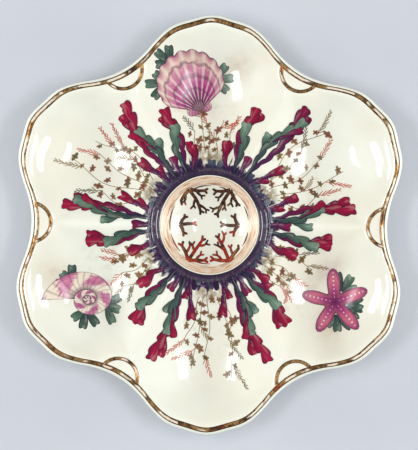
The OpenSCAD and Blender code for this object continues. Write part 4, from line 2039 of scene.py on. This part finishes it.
@dataclass
class Studio:
    """A plain pale floor, soft light from both sides and a camera straight above."""

    form: PlateForm
    photo_w: float = 418.0
    photo_h: float = 450.0
    photo_centre_x: float = 209.35
    photo_centre_y: float = 225.0
    pixel: float = 0.546 * MM
    roll: float = math.radians(0.9)
    distance: float = 0.9
    sensor: float = 36.0
    floor_size: float = 4.0
    floor_dark: str = "c3c8d0"
    floor_pale: str = "c9cdd4"
    room_colour: str = "dfe2e6"
    room: float = 0.34
    sides: tuple[Softbox, ...] = (
        Softbox("low", math.radians(15), 0.85, (0.46, 0.15), 14.0),
        Softbox("middle", math.radians(42), 1.1, (0.95, 0.6), 0.55, mirrored=False),
        Softbox("high", math.radians(64), 0.95, (0.34, 0.14), 14.0))
    top: Softbox = Softbox("top", math.radians(90), 1.25, (0.9, 0.9), 1.35, mirrored=False)

    def floor(self) -> None:
        """Makes the floor."""
        deselect_all()
        bpy.ops.mesh.primitive_plane_add(size=self.floor_size)
        floor = bpy.context.object
        floor.name = "floor"
        bench = ShaderBench("pale_floor")
        grain = bench.noise(bench.place(), 40, 3)
        floor.data.materials.append(bench.finish({
            "Base Color": bench.mix(grain, self.floor_dark, self.floor_pale),
            "Roughness": 0.55 + grain * 0.1,
        }))

    def _softbox(self, box: Softbox, name: str, place: Vector) -> None:
        """Adds one softbox.

        Args:
            box: Its size and brightness.
            name: Name of the light.
            place: Where it stands.
        """
        deselect_all()
        bpy.ops.object.light_add(type="AREA", location=place)
        light = bpy.context.object
        light.name = name
        light.data.shape = "RECTANGLE"
        light.data.size, light.data.size_y = box.size
        light.data.energy = box.radiance * math.pi * box.size[0] * box.size[1]
        light.visible_glossy = box.mirrored
        light.rotation_euler = (Vector((0, 0, self.form.height)) - place).to_track_quat("-Z", "Y").to_euler()

    def lights(self) -> None:
        """Makes a low, a middle and a high softbox on either side, one overhead and the dim room."""
        for name, side in (("left", -1), ("right", 1)):
            for box in self.sides:
                x, z = polar(box.away, box.turn)
                self._softbox(box, f"softbox_{name}_{box.level}", Vector((side * x, 0, z)))
        self._softbox(self.top, f"softbox_{self.top.level}", Vector((0, 0, self.top.away)))
        world = bpy.data.worlds.new("studio_room")
        world.use_nodes = True
        world.node_tree.nodes["Background"].inputs[0].default_value = srgb(self.room_colour)
        world.node_tree.nodes["Background"].inputs[1].default_value = self.room
        bpy.context.scene.world = world

    def camera(self) -> None:
        """Makes the camera, straight above the plate at the photograph's scale."""
        x = (self.photo_w / 2 - self.photo_centre_x) * self.pixel
        y = (self.photo_centre_y - self.photo_h / 2) * self.pixel
        deselect_all()
        bpy.ops.object.camera_add(location=(x, y, self.form.height + self.distance), rotation=(0, 0, self.roll))
        camera = bpy.context.object
        camera.name = "camera_above"
        camera.data.sensor_fit = "AUTO"
        camera.data.sensor_width = self.sensor
        camera.data.lens = self.sensor * self.distance / (self.photo_h * self.pixel)
        bpy.context.scene.camera = camera

    def build(self) -> None:
        """Makes the whole studio."""
        self.floor()
        self.lights()
        self.camera()
        bpy.context.scene.view_settings.view_transform = "Standard"


def main() -> None:
    """Builds the plate piece by piece and the studio round it."""
    logging.basicConfig(level=logging.INFO, format="%(message)s")
    low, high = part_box("plate_body")
    form = PlateForm(across=high.y - low.y, half_width=high.x, height=high.z)
    shells = SeaShells(form)
    PorcelainBody(form).build(shells.washes())
    FootRing().build()
    Gilding(form).build()
    CollarTufts(form).build()
    SeaweedFans(form).build()
    Sprigs(form).build(shells.wells)
    shells.build()
    Studio(form).build()


if __name__ == "__main__":
    main()
